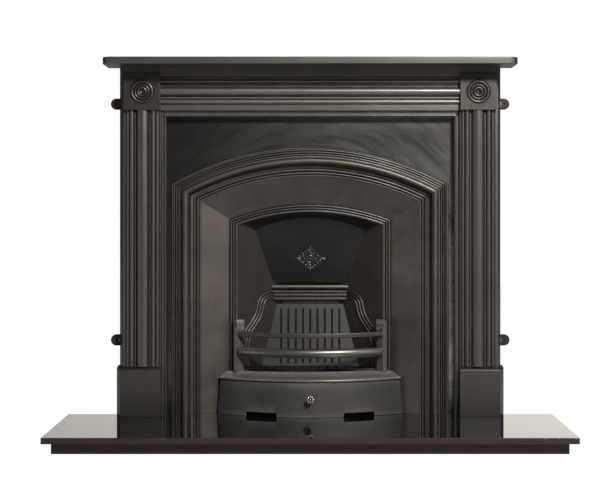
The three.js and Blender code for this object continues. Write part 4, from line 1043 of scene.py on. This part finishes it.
NOTCH = (100, 103, 194)                 # where a notch's slope starts, where it is up, and its far side
NOTCH_TOP = 64.0
ends = (*NOTCH, 278, 280.5, 282.3, COVER_HALF)
stops = sorted({*range(-275, 276, 11), *(side * x for side in (-1, 1) for x in ends)})
bm = bmesh.new()
stations = []
for x in stops:
    raised, level = cover_station(x, NOTCH_TOP), cover_station(x, FOOT)
    if abs(x) == NOTCH[2]:
        stations += [level, raised] if x < 0 else [raised, level]
    else:
        stations.append(raised if NOTCH[1] <= abs(x) <= NOTCH[2] else level)
front_rows = [(0.7, FOOT), (0, FOOT + 0.7), *((0, z) for z in (NOTCH_TOP, 82, 100, 120, 140, COVER_TOP - 1))]
front_rows.append((1, COVER_TOP))
back_rows = [(7 - deep, z) for deep, z in reversed(front_rows)]
carried(bm, front_rows + back_rows, stations)
flange = [(454, 152.5), (454, 158.5), (434, 158.5), (434, 152.5)]
around = [0.6 * (step / 20 - 1) for step in range(41)]
carried(bm, flange, [lambda p, turn=turn: (p[0] * math.sin(turn), BOW_CENTRE - p[0] * math.cos(turn), p[1])
                     for turn in around])
for mirror in (1, -1):
    slab(bm, Vector((279.5 * mirror - 3.5, 16, FOOT)) * MM, Vector((279.5 * mirror + 3.5, 24, 149)) * MM, 0.8)
finished(bm, "bowed_ashpan_cover", [cover_iron], "cover", "insert_iron", "ashpan_cover")

# ---------------------------------------------------------------- knob
# A turned steel knob, polished bright, with eight petals round its rim and a small boss in
# the middle. Its stem goes through the cover and takes the nut.

polished_steel, tree, shader, place = new_material("polished_steel", (0.62, 0.60, 0.57), 0.22, 0.7)
turning = cloud(tree, stretched(tree, place, (60, 400, 60)), 6, 3)
tree.links.new(banded(tree, turning, 0.3, 0.7, 0.12, 0.26), shader.inputs["Roughness"])
worn = banded(tree, cloud(tree, place, 220, 3), 0.35, 0.65)
tree.links.new(mixed(tree, worn, (0.80, 0.77, 0.73), (0.45, 0.43, 0.40)), shader.inputs["Base Color"])
bumped(tree, shader, turning, 0.02)

KNOB_HEIGHT = 109.0
COVER_FACE = BOW_CENTRE - COVER_RADIUS
# A dark colour for the gaps between the petals and the groove round the boss.
knob_dark = black_lead("knob_dark", (0.010, 0.009, 0.008), (0.050, 0.045, 0.038), 0.5, (80, 80, 80), arris_wear_and_highlight=0)
knob_profile = [
    (8.5, 0.35), (8.5, 2.5), (5, 4), (4.5, 11), (7, 14), (11.5, 16.5), (12, 19), (10.5, 21.8),
    (8, 22.4), (6.2, 20.6), (5.6, 16.5), (3.4, 16.5), (3.1, 21.5),
]
knob_profile = [(4, -18), (4, 0.35), *eased(knob_profile, 0.7, closed=False), (2.3, 23), (1.1, 23.6),
                (0, 23.7)]
bm = bmesh.new()
turned(bm, [(radius, COVER_FACE - reach) for radius, reach in knob_profile], 0, KNOB_HEIGHT, 96)
axis = Vector((0, 0, KNOB_HEIGHT)) * MM
for vert in bm.verts:
    out = (vert.co - axis) * Vector((1, 0, 1))
    if out.length > 5.9 * MM and vert.co.y < (COVER_FACE - 12) * MM:
        petal = abs(math.cos(4 * math.atan2(out.z, out.x)))
        vert.co = vert.co - out * (0.30 * (1 - petal) ** 2) + Vector((0, 3.5 * MM * (1 - petal) ** 3, 0))
# Faces in the gaps between petals and round the boss take the dark colour.
for face in bm.faces:
    spot = face.calc_center_median() - axis
    far = math.hypot(spot.x, spot.z)
    if spot.y < (COVER_FACE - 15) * MM and far > 3.0 * MM:
        between = abs(math.cos(4 * math.atan2(spot.z, spot.x))) < 0.32
        face.material_index = 1 if between or far < 6 * MM else 0
finished(bm, "petalled_knob", [polished_steel, knob_dark], "cover", "polished_steel", "ashpan_knob",
         merge=0.001)

# ---------------------------------------------------------------- plain pieces
# The pieces whose own solids are already their whole shape: the loose grate, the ash pan,
# the hinge rod and the fixings. They get metal finishes and softened edges.

mill_steel, tree, shader, place = new_material("mill_steel", (0.32, 0.31, 0.30), 0.42, 0.9)
scale_marks = cloud(tree, place, 60, 4, 0.6)
tree.links.new(mixed(tree, banded(tree, scale_marks, 0.35, 0.65), (0.22, 0.21, 0.20), (0.38, 0.36, 0.34)),
               shader.inputs["Base Color"])
tree.links.new(banded(tree, scale_marks, 0.3, 0.7, 0.35, 0.55), shader.inputs["Roughness"])
bumped(tree, shader, scale_marks, 0.08)

pan_steel = black_lead("pan_steel", (0.010, 0.0098, 0.0095), (0.022, 0.021, 0.020), 0.7, (8, 8, 8),
                       warm=0.5, arris_wear_and_highlight=0.4)

dressed(soot_iron, "bottom_grate")
dressed(pan_steel, "ash_pan")
fixings = [name for name in nodes if any(word in name for word in ("bolt", "nut", "screw", "rod"))]
dressed(mill_steel, *fixings)
for name in ("bottom_grate", "ash_pan", *fixings):
    weld = nodes[name].modifiers.new("weld", "WELD")
    weld.merge_threshold = 0.02 * MM
    soften = nodes[name].modifiers.new("soften", "BEVEL")
    soften.width = 0.35 * MM
    soften.segments = 2
    soften.limit_method = "ANGLE"
    soften.angle_limit = math.radians(40)

# ---------------------------------------------------------------- studio
# A pale floor that the camera sees as white, soft lamps above and in front, and the
# photograph's own camera, level and a little above the middle of the fireplace.

world = bpy.data.worlds.new("studio")
bpy.context.scene.world = world
world.use_nodes = True
tree = world.node_tree


def surfaced(tree, share, first, second, end):
    """Mixes two shaders by a share, and makes them the surface of a world or a material."""
    pick = tree.nodes.new("ShaderNodeMixShader")
    for value, slot in zip((share, first, second), pick.inputs):
        tree.links.new(value, slot)
    tree.links.new(pick.outputs["Shader"], tree.nodes[end].inputs["Surface"])


dim = tree.nodes["Background"]
dim.inputs["Color"].default_value = (1.0, 0.95, 0.88, 1.0)
dim.inputs["Strength"].default_value = 0.035
seen = added(tree, "LightPath")["Is Camera Ray"]
way = parted(tree, "Generated")
shown = summed(tree, seen, summed(tree, banded(tree, way["Y"], 0.93, 0.965), 0.95, "MULTIPLY"), "MAXIMUM")
tint = mixed(tree, seen, (1.0, 0.965, 0.885), (1.0, 1.0, 1.0))
aside = banded(tree, way["X"], -0.18, 0.18, 0.80, 1.25)
power = summed(tree, summed(tree, seen, 1.04, "MULTIPLY"), aside, "MAXIMUM")
white = added(tree, "Background", Color=tint, Strength=power)["Background"]
surfaced(tree, shown, dim.outputs["Background"], white, "World Output")


def lamp(name, place, target, size, power, colour):
    """A soft rectangular lamp that shines at a target."""
    light = bpy.data.lights.new(name, "AREA")
    light.shape = "RECTANGLE"
    light.size, light.size_y = size
    light.energy = power
    light.color = colour
    holder = placed(name, light)
    holder.location = place
    holder.rotation_euler = (Vector(target) - Vector(place)).to_track_quat("-Z", "Y").to_euler()


lamp("key", (1.35, -2.9, 2.8), (0.15, 0, 0.6), (0.6, 0.6), 175, (1.0, 0.965, 0.91))
lamp("side", (2.7, -1.7, 1.2), (0.2, 0, 0.5), (0.4, 1.4), 6, (1.0, 0.95, 0.9))
lamp("left", (-3.0, -2.0, 0.8), (-0.1, 0, 0.45), (0.6, 1.4), 5, (1.0, 0.96, 0.92))

bm = bmesh.new()
bmesh.ops.create_grid(bm, x_segments=1, y_segments=1, size=8.0)
bmesh.ops.translate(bm, verts=bm.verts, vec=(0, 0, -0.5 * MM))
floor_mesh = bpy.data.meshes.new("floor")
bm.to_mesh(floor_mesh)
bm.free()
floor = placed("floor", floor_mesh)
floor_paint, tree, shader, _ = new_material("floor_paint", (0.8, 0.8, 0.8), 0.9)
seen = added(tree, "LightPath")["Is Camera Ray"]
glow = added(tree, "Emission", Strength=banded(tree, seen, 0, 1, 0.30, 1.07))["Emission"]
share = banded(tree, seen, 0, 1, 0.5, 0.93)
surfaced(tree, share, shader.outputs["BSDF"], glow, "Material Output")
floor_mesh.materials.append(floor_paint)

FRAME_SIZE = (613, 490)                 # the photograph's pixels
AXIS_PIXEL = (310.2, 205.0)             # where the camera's own axis meets the photograph
FOCAL_PIXELS = 1409.0
CAMERA_PLACE = (0.0, -4.436, 0.708)
camera_data = bpy.data.cameras.new("camera")
camera_data.sensor_width = 36.0
camera_data.lens = camera_data.sensor_width * FOCAL_PIXELS / FRAME_SIZE[0]
camera_data.shift_x = (FRAME_SIZE[0] / 2 - AXIS_PIXEL[0]) / FRAME_SIZE[0]
camera_data.shift_y = (AXIS_PIXEL[1] - FRAME_SIZE[1] / 2) / FRAME_SIZE[0]
camera_data.clip_end = 40.0
camera = placed("camera", camera_data)
camera.location = CAMERA_PLACE
camera.rotation_euler = (math.pi / 2, 0.0, 0.0)
bpy.context.scene.camera = camera
bpy.context.scene.view_settings.view_transform = "Standard"
